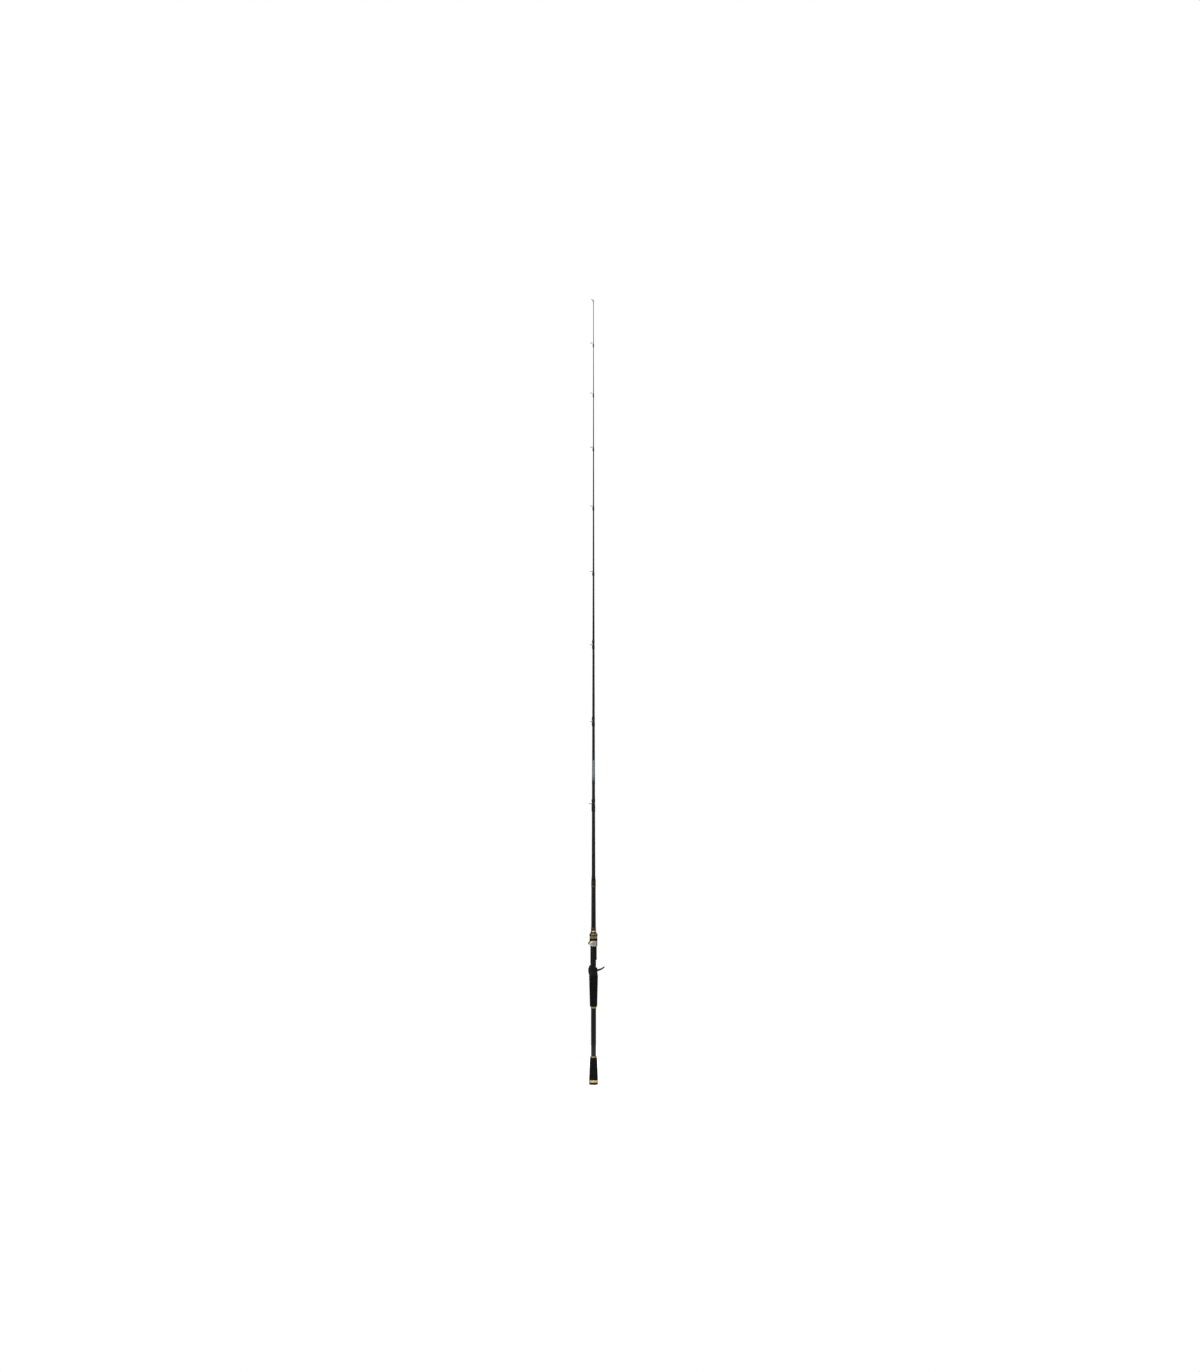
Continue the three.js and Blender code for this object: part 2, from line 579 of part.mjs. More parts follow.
function addMovingHood() {
  const wide = HOOD_HALF_WIDTH * ACROSS;
  const [browRun, browRise] = HOOD_BROW;
  const [napeRun, napeFall] = HOOD_NAPE;
  const lip = MOVING_HOOD_START + HOOD_LIP;
  const back = MOVING_HOOD_END - HOOD_BACK;
  const outer = HOOD_BORE + HOOD_SLEEVE_WALL;
  const side = plateXZ(
    [
      [0, MOVING_HOOD_START],
      [-BARREL_RADIUS, MOVING_HOOD_START],
      [-mix(BARREL_RADIUS, HOOD_HEIGHT, browRise), mix(MOVING_HOOD_START, lip, browRun)],
      [-HOOD_HEIGHT, lip],
      [-HOOD_HEIGHT, back],
      [-mix(HOOD_HEIGHT, outer, napeFall), mix(back, MOVING_HOOD_END, napeRun)],
      [-outer, MOVING_HOOD_END],
      [0, MOVING_HOOD_END],
    ],
    wide,
  );
  const section = hoodSection(HOOD_HEIGHT, HOOD_HALF_WIDTH);
  const hump = solid(side).intersect(solid(prismZ(section, MOVING_HOOD_START, HOOD_LENGTH)));
  const ring = turned([
    [0, MOVING_HOOD_START],
    [outer, MOVING_HOOD_START],
    [outer, MOVING_HOOD_END],
    [0, MOVING_HOOD_END],
  ]);
  const pocketSection = hoodSection(HOOD_HEIGHT - HOOD_WALL, HOOD_HALF_WIDTH - HOOD_WALL);
  const pocket = prismZ(pocketSection, MOVING_HOOD_START - CLEAR, HOOD_POCKET_DEPTH + CLEAR);
  const bore = prismZ(circle(HOOD_BORE), MOVING_HOOD_START - CLEAR, HOOD_LENGTH + 2 * CLEAR);
  const key = block(
    KEYWAY_FLOOR + RUN * 2,
    HOOD_BORE + HOOD_SLEEVE_WALL / 2,
    KEYWAY_WIDTH - 4 * RUN,
    MOVING_HOOD_START,
    MOVING_HOOD_END,
  );
  const hood = cut(hump.add(solid(ring)), pocket, bore).add(solid(key));
  add("moving_hood", geometryOf(hood), silver);

  const liner = hoodLiner(HOOD_HEIGHT, HOOD_HALF_WIDTH, HOOD_BORE + FIT);
  const linerStart = lip + GAP;
  const linerEnd = MOVING_HOOD_START + HOOD_POCKET_DEPTH - GAP;
  add("moving_hood_liner", prismZ(liner, linerStart, linerEnd - linerStart), nylon);
}

// ---------------------------------------------------------------- lock nut
const NUT_START = MOVING_HOOD_END + GAP;
const NUT_BORE = BARREL_RADIUS + RUN;
const NUT_CORE_RADIUS = NUT_BORE + NUT_CORE_WALL;
const NUT_END = SEAT_END - GAP;

function addNut() {
  const bore = () => NUT_BORE;
  const overCore = () => NUT_CORE_RADIUS + FIT;
  add("nut_core", sleeve(NUT_START, NUT_END, bore, NUT_CORE_WALL), moulded);
  let z = NUT_START;
  const place = (name, length, wall, material) => {
    add(name, sleeve(z, z + length, overCore, wall), material);
    z += length + GAP;
  };
  place("nut_rear_collar", NUT_REAR_COLLAR_LENGTH, NUT_REAR_COLLAR_WALL, brownAluminium);
  place("nut_gold_band", NUT_BAND_LENGTH, NUT_BAND_WALL, goldAluminium);

  const corners = NUT_GRIP_FLUTES * 2;
  const outline = [];
  for (let i = 0; i < corners; i++) {
    const angle = (2 * Math.PI * i) / corners;
    const radius = overCore() + NUT_GRIP_WALL - (i % 2) * NUT_FLUTE_DEPTH;
    outline.push([radius * Math.cos(angle), radius * Math.sin(angle)]);
  }
  const grooved = solid(prismZ(outline, z, NUT_GRIP_LENGTH));
  const hole = prismZ(circle(overCore()), z - CLEAR, NUT_GRIP_LENGTH + 2 * CLEAR);
  add("nut_grip_ring", geometryOf(cut(grooved, hole)), brownAluminium);
  z += NUT_GRIP_LENGTH + GAP;
  place("nut_front_ring", NUT_FRONT_RING_LENGTH, NUT_FRONT_RING_WALL, silver);
}

// ---------------------------------------------------------------- thread wraps and trim
// A thread wrap under epoxy: its ends feather down to the blank.
function wrapOutline(start, end, radiusAt, wall) {
  const thin = wall / 2;
  return [
    [radiusAt(start), start],
    [radiusAt(start) + thin, start],
    [radiusAt(start) + wall, start + WRAP_SHOULDER],
    [radiusAt(end) + wall, end - WRAP_SHOULDER],
    [radiusAt(end) + thin, end],
    [radiusAt(end), end],
  ];
}

const CONE_START = SEAT_END + GAP;
const FORE_CHECK_START = CONE_START + END_CONE_LENGTH + GAP;
const FORE_WRAP_START = FORE_CHECK_START + FORE_CHECK_LENGTH + GAP;

function addForeTrim() {
  const coneEnd = CONE_START + END_CONE_LENGTH;
  const rearWall = BARREL_RADIUS - overButt(CONE_START);
  add(
    "seat_end_cone",
    sleeve(CONE_START, coneEnd, overButt, rearWall, END_CONE_FRONT_WALL),
    moulded,
  );
  add(
    "fore_check_ring",
    sleeve(
      FORE_CHECK_START,
      FORE_CHECK_START + FORE_CHECK_LENGTH,
      overButt,
      FORE_CHECK_REAR_WALL,
      FORE_CHECK_FRONT_WALL,
    ),
    goldAluminium,
  );
  const foreWrap = wrapOutline(
    FORE_WRAP_START,
    FORE_WRAP_START + FORE_WRAP_LENGTH,
    overButt,
    WRAP_WALL,
  );
  add("fore_wrap", turned(foreWrap), blackThread);
}

const overTip = (z) => tipRadius(z) + FIT;

function addFerruleTrim() {
  const ringStart = BUTT_SECTION_END - FERRULE_RING_LENGTH;
  const wrapEnd = ringStart - GAP;
  add(
    "ferrule_wrap",
    turned(wrapOutline(wrapEnd - FERRULE_WRAP_LENGTH, wrapEnd, overButt, WRAP_WALL)),
    blackThread,
  );
  add(
    "ferrule_ring",
    sleeve(ringStart, BUTT_SECTION_END, overButt, FERRULE_RING_WALL),
    brownAluminium,
  );
  const stopStart = BUTT_SECTION_END + GAP;
  add(
    "tip_stop_wrap",
    turned(wrapOutline(stopStart, stopStart + STOP_WRAP_LENGTH, overTip, WRAP_WALL)),
    blackThread,
  );
  const labelStart = BUTT_SECTION_END + LABEL_START;
  add(
    "label_band",
    sleeve(labelStart, labelStart + LABEL_LENGTH, overTip, LABEL_WALL),
    labelGrey,
  );
}

// ---------------------------------------------------------------- guides
// A guide foot lies along the blank, and its far end is thinned for the thread to climb.
function foot(surface, from, to) {
  const slope = Math.sign(to - from) * FOOT_SLOPE;
  return plateXZ(
    [
      [-surface, from],
      [-surface - FOOT_THICKNESS, from],
      [-surface - FOOT_THICKNESS, to - slope],
      [-surface - FOOT_TIP_THICKNESS, to],
      [-surface, to],
    ],
    FOOT_WIDTH,
  );
}

// The upright hoop and its neck, standing on the blank at the origin and leaning to the tip.
function hoopPlate(height, hoopRadius) {
  const hoop = circle(hoopRadius, SMALL_SIDES).map(([x, y]) => [x - height, y]);
  const half = hoopRadius * NECK_HOOP_SHARE;
  const neck = [
    [0, -FOOT_WIDTH / 2],
    [0, FOOT_WIDTH / 2],
    [-height, half],
    [-height, -half],
  ];
  const hole = circle(hoopRadius - HOOP_WALL, SMALL_SIDES).map(([x, y]) => [x - height, y]);
  const start = -FRAME_THICKNESS / 2;
  return cut(
    join(prismZ(hoop, start, FRAME_THICKNESS), prismZ(neck, start, FRAME_THICKNESS)),
    prismZ(hole, -RING_WIDTH, 2 * RING_WIDTH),
  );
}

// The ceramic ring, thicker at its middle, pressed in the hoop.
function ringInsert(height, outerRadius) {
  const inner = outerRadius - RING_WALL;
  const half = RING_WIDTH / 2;
  const lip = RING_WALL / 3;
  return turned(
    [
      [outerRadius, -half + lip],
      [outerRadius, half - lip],
      [outerRadius - lip, half],
      [inner + lip, half],
      [inner, half - lip * 2],
      [inner, -half + lip * 2],
      [inner + lip, -half],
      [outerRadius - lip, -half],
    ],
    SMALL_SIDES,
  ).translate(-height, 0, 0);
}

// Thread wound round the blank and over a guide foot.
function footWrap(surface, start, end, from, to) {
  const top = surface + FOOT_THICKNESS + FIT + WRAP_WALL;
  const half = FOOT_WIDTH / 2 + FIT + WRAP_WALL;
  const saddle = block(-top, 0, half * 2, start + WRAP_SHOULDER / 2, end - WRAP_SHOULDER / 2);
  const round = turned(
    [[0, start], ...wrapOutline(start, end, overTip, WRAP_WALL).slice(1, -1), [0, end]],
    SMALL_SIDES,
  );
  const channel = block(
    -surface - FOOT_THICKNESS - FIT,
    0,
    FOOT_WIDTH + 2 * FIT,
    Math.min(from, to) - FIT,
    Math.max(from, to) + FIT,
  );
  const blank = turned(
    [
      [0, start - CLEAR],
      [overTip(start), start - CLEAR],
      [overTip(start), end + CLEAR],
      [0, end + CLEAR],
    ],
    ROUND_SIDES,
  );
  return geometryOf(cut(join(round, saddle), channel, blank));
}

function addGuide(name, z, hoopRadius, neck, rearFootLength, frontFoot) {
  const surface = tipRadius(z - rearFootLength) + FIT;
  const height = neck + hoopRadius;
  const stand = (geometry) => geometry.rotateY(GUIDE_TILT).translate(-surface, 0, z);
  const hoop = geometryOf(hoopPlate(height, hoopRadius));
  const parts = [stand(hoop), foot(surface, z + FRAME_THICKNESS / 2, z - rearFootLength)];
  if (frontFoot) {
    const legFoot = z + FRONT_LEG_LENGTH;
    parts.push(foot(surface, legFoot - FRAME_THICKNESS, legFoot + FRONT_FOOT_LENGTH));
    const jointHeight = height - hoopRadius * Math.sin(LEG_JOINT_ANGLE);
    for (const side of [-1, 1]) {
      const low = new THREE.Vector3(
        -surface - FOOT_THICKNESS / 2,
        side * FOOT_WIDTH * LEG_SPREAD,
        legFoot,
      );
      const high = new THREE.Vector3(
        -surface - jointHeight * Math.cos(GUIDE_TILT),
        side * hoopRadius * Math.cos(LEG_JOINT_ANGLE),
        z + jointHeight * Math.sin(GUIDE_TILT),
      );
      parts.push(wire(low, high, LEG_RADIUS));
    }
  }
  add(`${name}_frame`, geometryOf(join(...parts)), steel);
  const ring = ringInsert(height, hoopRadius - HOOP_WALL - FIT);
  add(`${name}_ring`, stand(ring), ceramic);

  const rearEnd = z - WRAP_MARGIN;
  const rearStart = z - rearFootLength - WRAP_SHOULDER;
  const rearWrap = footWrap(surface, rearStart, rearEnd, z, z - rearFootLength);
  add(`${name}_${frontFoot ? "rear_wrap" : "wrap"}`, rearWrap, blackThread);
  if (frontFoot) {
    const legFoot = z + FRONT_LEG_LENGTH;
    const frontEnd = legFoot + FRONT_FOOT_LENGTH;
    add(
      `${name}_front_wrap`,
      footWrap(surface, legFoot + WRAP_MARGIN, frontEnd + WRAP_SHOULDER, legFoot, frontEnd),
      blackThread,
    );
  }
}

function addGuides() {
  const guided = ROD_LENGTH - BUTT_SECTION_END - STRIPPER_FROM_FERRULE;
  const allSteps = GUIDE_STEPS.reduce((a, b) => a + b);
  const count = GUIDE_STEPS.length;
  let fromTip = 0;
  for (let i = 0; i < count; i++) {
    fromTip += (GUIDE_STEPS[i] * guided) / allSteps;
    const number = count - i; // 1 is the stripper, nearest the reel
    const name = number === 1 ? "stripper_guide" : `guide_${number}`;
    const isStripper = number === 1;
    addGuide(
      name,
      ROD_LENGTH - fromTip,
      isStripper ? STRIPPER_HOOP_RADIUS : RUNNER_HOOP_RADIUS,
      isStripper ? STRIPPER_NECK : RUNNER_NECK + RUNNER_NECK_RISE * (number - 2),
      isStripper ? STRIPPER_FOOT_LENGTH : FOOT_LENGTH,
      number <= DOUBLE_FOOT_GUIDES,
    );
  }
}

// ---------------------------------------------------------------- tip top
function addTipTop() {
  const tubeStart = TIP_TUBE_END - TIP_TUBE_LENGTH;
  const bore = tipRadius(tubeStart) + FIT;
  const outer = bore + TIP_TUBE_WALL;
  const tube = turned(
    [
      [0, tubeStart],
      [outer, tubeStart],
      [outer, TIP_TUBE_END],
      [0, TIP_TUBE_END],
    ],
    SMALL_SIDES,
  );
  const socket = prismZ(circle(bore), tubeStart - CLEAR, TIP_END + GAP - tubeStart + CLEAR);
  const place = (geometry) =>
    geometry.rotateY(TIP_TOP_TILT).translate(-TIP_TOP_OFFSET, 0, TIP_TOP_CENTRE);
  const hoop = prismZ(
    circle(TIP_TOP_HOOP_RADIUS, SMALL_SIDES),
    -FRAME_THICKNESS / 2,
    FRAME_THICKNESS,
  );
  const hole = prismZ(
    circle(TIP_TOP_HOOP_RADIUS - HOOP_WALL, SMALL_SIDES),
    -RING_WIDTH,
    2 * RING_WIDTH,
  );
  const parts = [tube, place(hoop)];
  for (const side of [-1, 1]) {
    const low = new THREE.Vector3(-outer, side * outer * LEG_SPREAD, TIP_TUBE_END - TIP_TUBE_LENGTH / 2);
    const high = new THREE.Vector3(
      -TIP_TOP_OFFSET,
      side * (TIP_TOP_HOOP_RADIUS - HOOP_WALL / 2),
      TIP_TOP_CENTRE,
    );
    parts.push(wire(low, high, LEG_RADIUS));
  }
  add("tip_top_frame", geometryOf(cut(join(...parts), socket, place(hole))), steel);
  const ring = ringInsert(0, TIP_TOP_HOOP_RADIUS - HOOP_WALL - FIT);
  add("tip_top_ring", place(ring), ceramic);
}

addBlanks();
addButtCap();
addGrips();
addSeat();
addArbors();
addMovingHood();
addNut();
addForeTrim();
addFerruleTrim();
addGuides();
addTipTop();

export default model;
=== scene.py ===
"""A two-piece baitcasting rod: split foam grip, trigger reel seat, and guides wound on with thread.

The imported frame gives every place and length. The rod stands on its butt, +Z runs to the tip, and the
guides and the reel deck are on the -X side. Sizes are in millimetres, and MM turns them to metres.
"""
import json
import math

import bpy
import numpy as np
import openvdb
from mathutils import Matrix, Vector


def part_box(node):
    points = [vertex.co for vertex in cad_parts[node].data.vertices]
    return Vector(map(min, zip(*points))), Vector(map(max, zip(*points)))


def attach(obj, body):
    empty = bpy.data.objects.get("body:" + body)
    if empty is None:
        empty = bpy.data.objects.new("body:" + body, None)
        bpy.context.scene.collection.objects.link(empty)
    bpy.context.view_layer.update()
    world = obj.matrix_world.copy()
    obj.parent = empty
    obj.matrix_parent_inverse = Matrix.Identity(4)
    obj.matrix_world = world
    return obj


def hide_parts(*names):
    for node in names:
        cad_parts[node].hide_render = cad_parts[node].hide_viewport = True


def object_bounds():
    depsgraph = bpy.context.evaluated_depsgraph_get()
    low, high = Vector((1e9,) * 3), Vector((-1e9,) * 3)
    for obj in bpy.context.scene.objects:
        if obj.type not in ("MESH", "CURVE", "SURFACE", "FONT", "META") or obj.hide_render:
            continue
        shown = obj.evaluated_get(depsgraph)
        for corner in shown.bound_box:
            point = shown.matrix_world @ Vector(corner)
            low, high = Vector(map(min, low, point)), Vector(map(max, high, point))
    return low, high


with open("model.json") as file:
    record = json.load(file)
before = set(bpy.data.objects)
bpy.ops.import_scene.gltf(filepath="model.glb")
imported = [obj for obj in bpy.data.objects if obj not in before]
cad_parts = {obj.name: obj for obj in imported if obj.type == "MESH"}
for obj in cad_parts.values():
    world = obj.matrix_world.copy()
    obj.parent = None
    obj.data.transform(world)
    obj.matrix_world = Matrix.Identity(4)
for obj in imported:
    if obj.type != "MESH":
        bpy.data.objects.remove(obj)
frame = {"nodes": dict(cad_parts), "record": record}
CAD_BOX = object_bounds()

MM = 0.001
TURN = 2 * math.pi
BODY_OF = {node: body for body, nodes in frame["record"]["behaviour"]["bodies"].items() for node in nodes}


# ------------------------------------------------------------------ nodes, colours and objects
def add(tree, kind, inputs=None, **settings):
    """Adds a node. An input takes a number, a colour, another node's output, or a node, whose first
    output in use is then linked."""
    made = tree.nodes.new(kind)
    for name, value in settings.items():
        setattr(made, name, value)
    for key, value in (inputs or {}).items():
        by_name = (s for s in made.inputs if s.name == key and s.enabled)
        socket = made.inputs[key] if isinstance(key, int) else next(by_name)
        if isinstance(value, bpy.types.Node):
            value = next(s for s in value.outputs if s.enabled)
        if isinstance(value, bpy.types.NodeSocket):
            tree.links.new(value, socket)
        else:
            socket.default_value = value
    return made


def colour(code):
    """An sRGB hex value as linear red, green, blue and alpha."""
    shares = [int(code[i : i + 2], 16) / 255 for i in (1, 3, 5)]
    return tuple(s / 12.92 if s <= 0.04045 else ((s + 0.055) / 1.055) ** 2.4 for s in shares) + (1.0,)


def placed(name, data):
    """A new object in the scene."""
    made = bpy.data.objects.new(name, data)
    bpy.context.scene.collection.objects.link(made)
    return made


# ------------------------------------------------------------------ materials
FINISHES = {}


def surface(name, recipe, sockets, **details):
    """A finish: the principled shader with these values, and what its recipe links to the sockets."""
    material = bpy.data.materials.new(name)
    material.use_nodes = True
    tree = material.node_tree
    tree.nodes.clear()
    shader = add(tree, "ShaderNodeBsdfPrincipled", {**sockets, **recipe(tree, **details)})
    add(tree, "ShaderNodeOutputMaterial", {"Surface": shader})
    FINISHES[name] = material


def grain(tree, size, stretch=(1, 1, 1), detail=4):
    """Noise with a grain of that many millimetres, drawn out where stretch is small."""
    place = add(tree, "ShaderNodeTexCoord")
    drawn = add(tree, "ShaderNodeMapping", {"Vector": place.outputs["Object"], "Scale": stretch})
    return add(tree, "ShaderNodeTexNoise", {"Vector": drawn, "Scale": 1 / (size * MM), "Detail": detail})


def toned(tree, share, dark, light, low=0.3, high=0.7):
    """A colour between two, by a share whose useful part runs from low to high."""
    spread = add(tree, "ShaderNodeMapRange", {"Value": share, "From Min": low, "From Max": high})
    ends = {"Factor": spread, "A": colour(dark), "B": colour(light)}
    return add(tree, "ShaderNodeMix", ends, data_type="RGBA")


def helix(tree, pitch, starts, way=1):
    """A wave that climbs round the rod: pitch in millimetres from one crest to the next."""
    place = add(tree, "ShaderNodeTexCoord")
    xyz = add(tree, "ShaderNodeSeparateXYZ", {"Vector": place.outputs["Object"]})
    angle = add(tree, "ShaderNodeMath", {0: xyz.outputs["Y"], 1: xyz.outputs["X"]}, operation="ARCTAN2")
    turns = way * TURN / (pitch * MM)
    climb = add(tree, "ShaderNodeMath", {0: xyz.outputs["Z"], 1: turns}, operation="MULTIPLY")
    phase = add(tree, "ShaderNodeMath", {0: angle, 1: float(starts), 2: climb}, operation="MULTIPLY_ADD")
    return add(tree, "ShaderNodeMath", {0: phase}, operation="SINE")


def paint(tree, dark, light):
    """Rolled wall paint: a barely visible orange peel."""
    peel = grain(tree, size=4)
    return {
        "Base Color": toned(tree, peel, dark, light),
        "Normal": add(tree, "ShaderNodeBump", {"Height": peel, "Distance": 0.05 * MM}),
    }


def rolled_carbon(tree, dark, light, weave):
    """Carbon prepreg rolled on a mandrel: fibres along the rod, crossed tapes over them, and the
    spiral ridge that the shrink tape leaves. The clear coat on top gives the hard, wet highlight."""
    fibres = grain(tree, size=0.5, stretch=(1, 1, 0.03))
    over = helix(tree, pitch=9, starts=2)
    under = helix(tree, pitch=9, starts=2, way=-1)
    crossed = add(tree, "ShaderNodeMath", {0: over, 1: under}, operation="MULTIPLY")
    mixed = add(tree, "ShaderNodeMath", {0: crossed, 1: weave, 2: fibres}, operation="MULTIPLY_ADD")
    tape = helix(tree, pitch=2.5, starts=1)
    ridge = add(tree, "ShaderNodeMath", {0: tape, 1: 0.4, 2: fibres}, operation="MULTIPLY_ADD")
    return {
        "Base Color": toned(tree, mixed, dark, light),
        "Normal": add(tree, "ShaderNodeBump", {"Height": ridge, "Distance": 0.006 * MM}),
        "Roughness": add(tree, "ShaderNodeMapRange", {"Value": fibres, "To Min": 0.3, "To Max": 0.5}),
    }


def ground(tree, dark, light):
    """A surface ground round its axis: fine rings of scratches that catch the light unevenly."""
    rings = grain(tree, size=0.25, stretch=(0.02, 0.02, 1), detail=6)
    return {
        "Base Color": toned(tree, rings, dark, light),
        "Roughness": add(tree, "ShaderNodeMapRange", {"Value": rings, "To Min": 0.35, "To Max": 0.6}),
        "Normal": add(tree, "ShaderNodeBump", {"Height": rings, "Distance": 0.01 * MM}),
    }


def closed_cells(tree, dark, light, cell):
    """Sanded closed-cell foam: the cut cells give a dry, pitted, dead matt face. Real cells are about
    0.2 mm, drawn coarser so that they show."""
    place = add(tree, "ShaderNodeTexCoord")
    cells = add(tree, "ShaderNodeTexVoronoi", {"Vector": place.outputs["Object"], "Scale": 1 / (cell * MM)})
    cloud = grain(tree, size=9, detail=2)
    pits = add(tree, "ShaderNodeMath", {0: cells, 1: -0.5, 2: cloud}, operation="MULTIPLY_ADD")
    uneven = add(tree, "ShaderNodeBump", {"Height": cloud, "Distance": 0.08 * MM})
    return {
        "Base Color": toned(tree, pits, dark, light, low=0.0, high=0.6),
        "Roughness": add(tree, "ShaderNodeMapRange", {"Value": cells, "To Min": 0.85, "To Max": 0.98}),
        "Normal": add(tree, "ShaderNodeBump", {"Height": cells, "Distance": 0.05 * MM, "Normal": uneven}),
    }


def moulded(tree, dark, light, texture, depth):
    """Plastic or rubber from a spark-eroded mould: a fine even texture under a satin skin."""
    spark = grain(tree, texture, detail=3)
    flow = grain(tree, size=14, stretch=(1, 1, 0.3), detail=2)
    return {
        "Base Color": toned(tree, flow, dark, light),
        "Normal": add(tree, "ShaderNodeBump", {"Height": spark, "Distance": depth * MM}),
    }


def anodised(tree, dark, light, gloss):
    """Anodised aluminium turned on a lathe: rings of fine tool marks under a clear dyed skin, so the
    highlight breaks into thin bright lines. Marks of 0.1 mm are drawn at 0.3 mm."""
    marks = grain(tree, size=0.3, stretch=(0.01, 0.01, 1), detail=6)
    cloud = grain(tree, size=3, detail=2)
    both = add(tree, "ShaderNodeMath", {0: cloud, 1: 0.3, 2: marks}, operation="MULTIPLY_ADD")
    cut = {"Value": marks, "To Min": gloss[0], "To Max": gloss[1]}
    return {
        "Base Color": toned(tree, both, dark, light, low=0.45, high=0.85),
        "Roughness": add(tree, "ShaderNodeMapRange", cut),
        "Normal": add(tree, "ShaderNodeBump", {"Height": marks, "Distance": 0.012 * MM}),
    }


def polished(tree, dark, light, gloss):
    """Polished or bead-blasted metal or ceramic: slow changes of gloss and a trace of fine scratches."""
    cloud = grain(tree, size=7, detail=2)
    scratches = grain(tree, size=0.15, stretch=(0.3, 1, 0.08))
    rubbed = {"Value": scratches, "To Min": gloss[0], "To Max": gloss[1]}
    return {
        "Base Color": toned(tree, cloud, dark, light, low=0.2, high=0.8),
        "Roughness": add(tree, "ShaderNodeMapRange", rubbed),
        "Normal": add(tree, "ShaderNodeBump", {"Height": scratches, "Distance": 0.004 * MM}),
    }


def twisted(tree, dark, light):
    """Multifilament thread soaked in epoxy: the filaments twist, and the resin makes it wet and deep."""
    filaments = grain(tree, size=0.12, stretch=(1, 1, 0.35), detail=3)
    return {
        "Base Color": toned(tree, filaments, dark, light),
        "Normal": add(tree, "ShaderNodeBump", {"Height": filaments, "Distance": 0.01 * MM}),
    }


def poured(tree, dark, light):
    """Clear epoxy flowed over black thread: a deep gloss with slow ripples where it levelled."""
    ripple = grain(tree, size=2.2, stretch=(1, 1, 0.6), detail=1)
    return {
        "Base Color": toned(tree, ripple, dark, light),
        "Normal": add(tree, "ShaderNodeBump", {"Height": ripple, "Distance": 0.05 * MM}),
    }


def printed(tree, bare, ink, pale, fade):
    """A printed grey band under the clear coat: fine flake, hairline rules, and a fade to the bare
    blank at its lower end. fade is where it starts and ends, in millimetres along the rod."""
    place = add(tree, "ShaderNodeTexCoord")
    xyz = add(tree, "ShaderNodeSeparateXYZ", {"Vector": place.outputs["Object"]})
    flake = grain(tree, size=0.35, detail=2)
    rules = helix(tree, pitch=3.2, starts=0)
    tinted = add(tree, "ShaderNodeMath", {0: rules, 1: 0.08, 2: flake}, operation="MULTIPLY_ADD")
    stretch = {"Value": xyz.outputs["Z"], "From Min": fade[0] * MM, "From Max": fade[1] * MM}
    full = add(tree, "ShaderNodeMapRange", stretch, interpolation_type="SMOOTHSTEP")
    ends = {"Factor": full, "A": colour(bare), "B": toned(tree, tinted, ink, pale)}
    return {
        "Base Color": add(tree, "ShaderNodeMix", ends, data_type="RGBA"),
        "Roughness": add(tree, "ShaderNodeMapRange", {"Value": flake, "To Min": 0.3, "To Max": 0.5}),
    }


LABEL_FADE = (818, 842)  # from bare blank to full print, along the rod


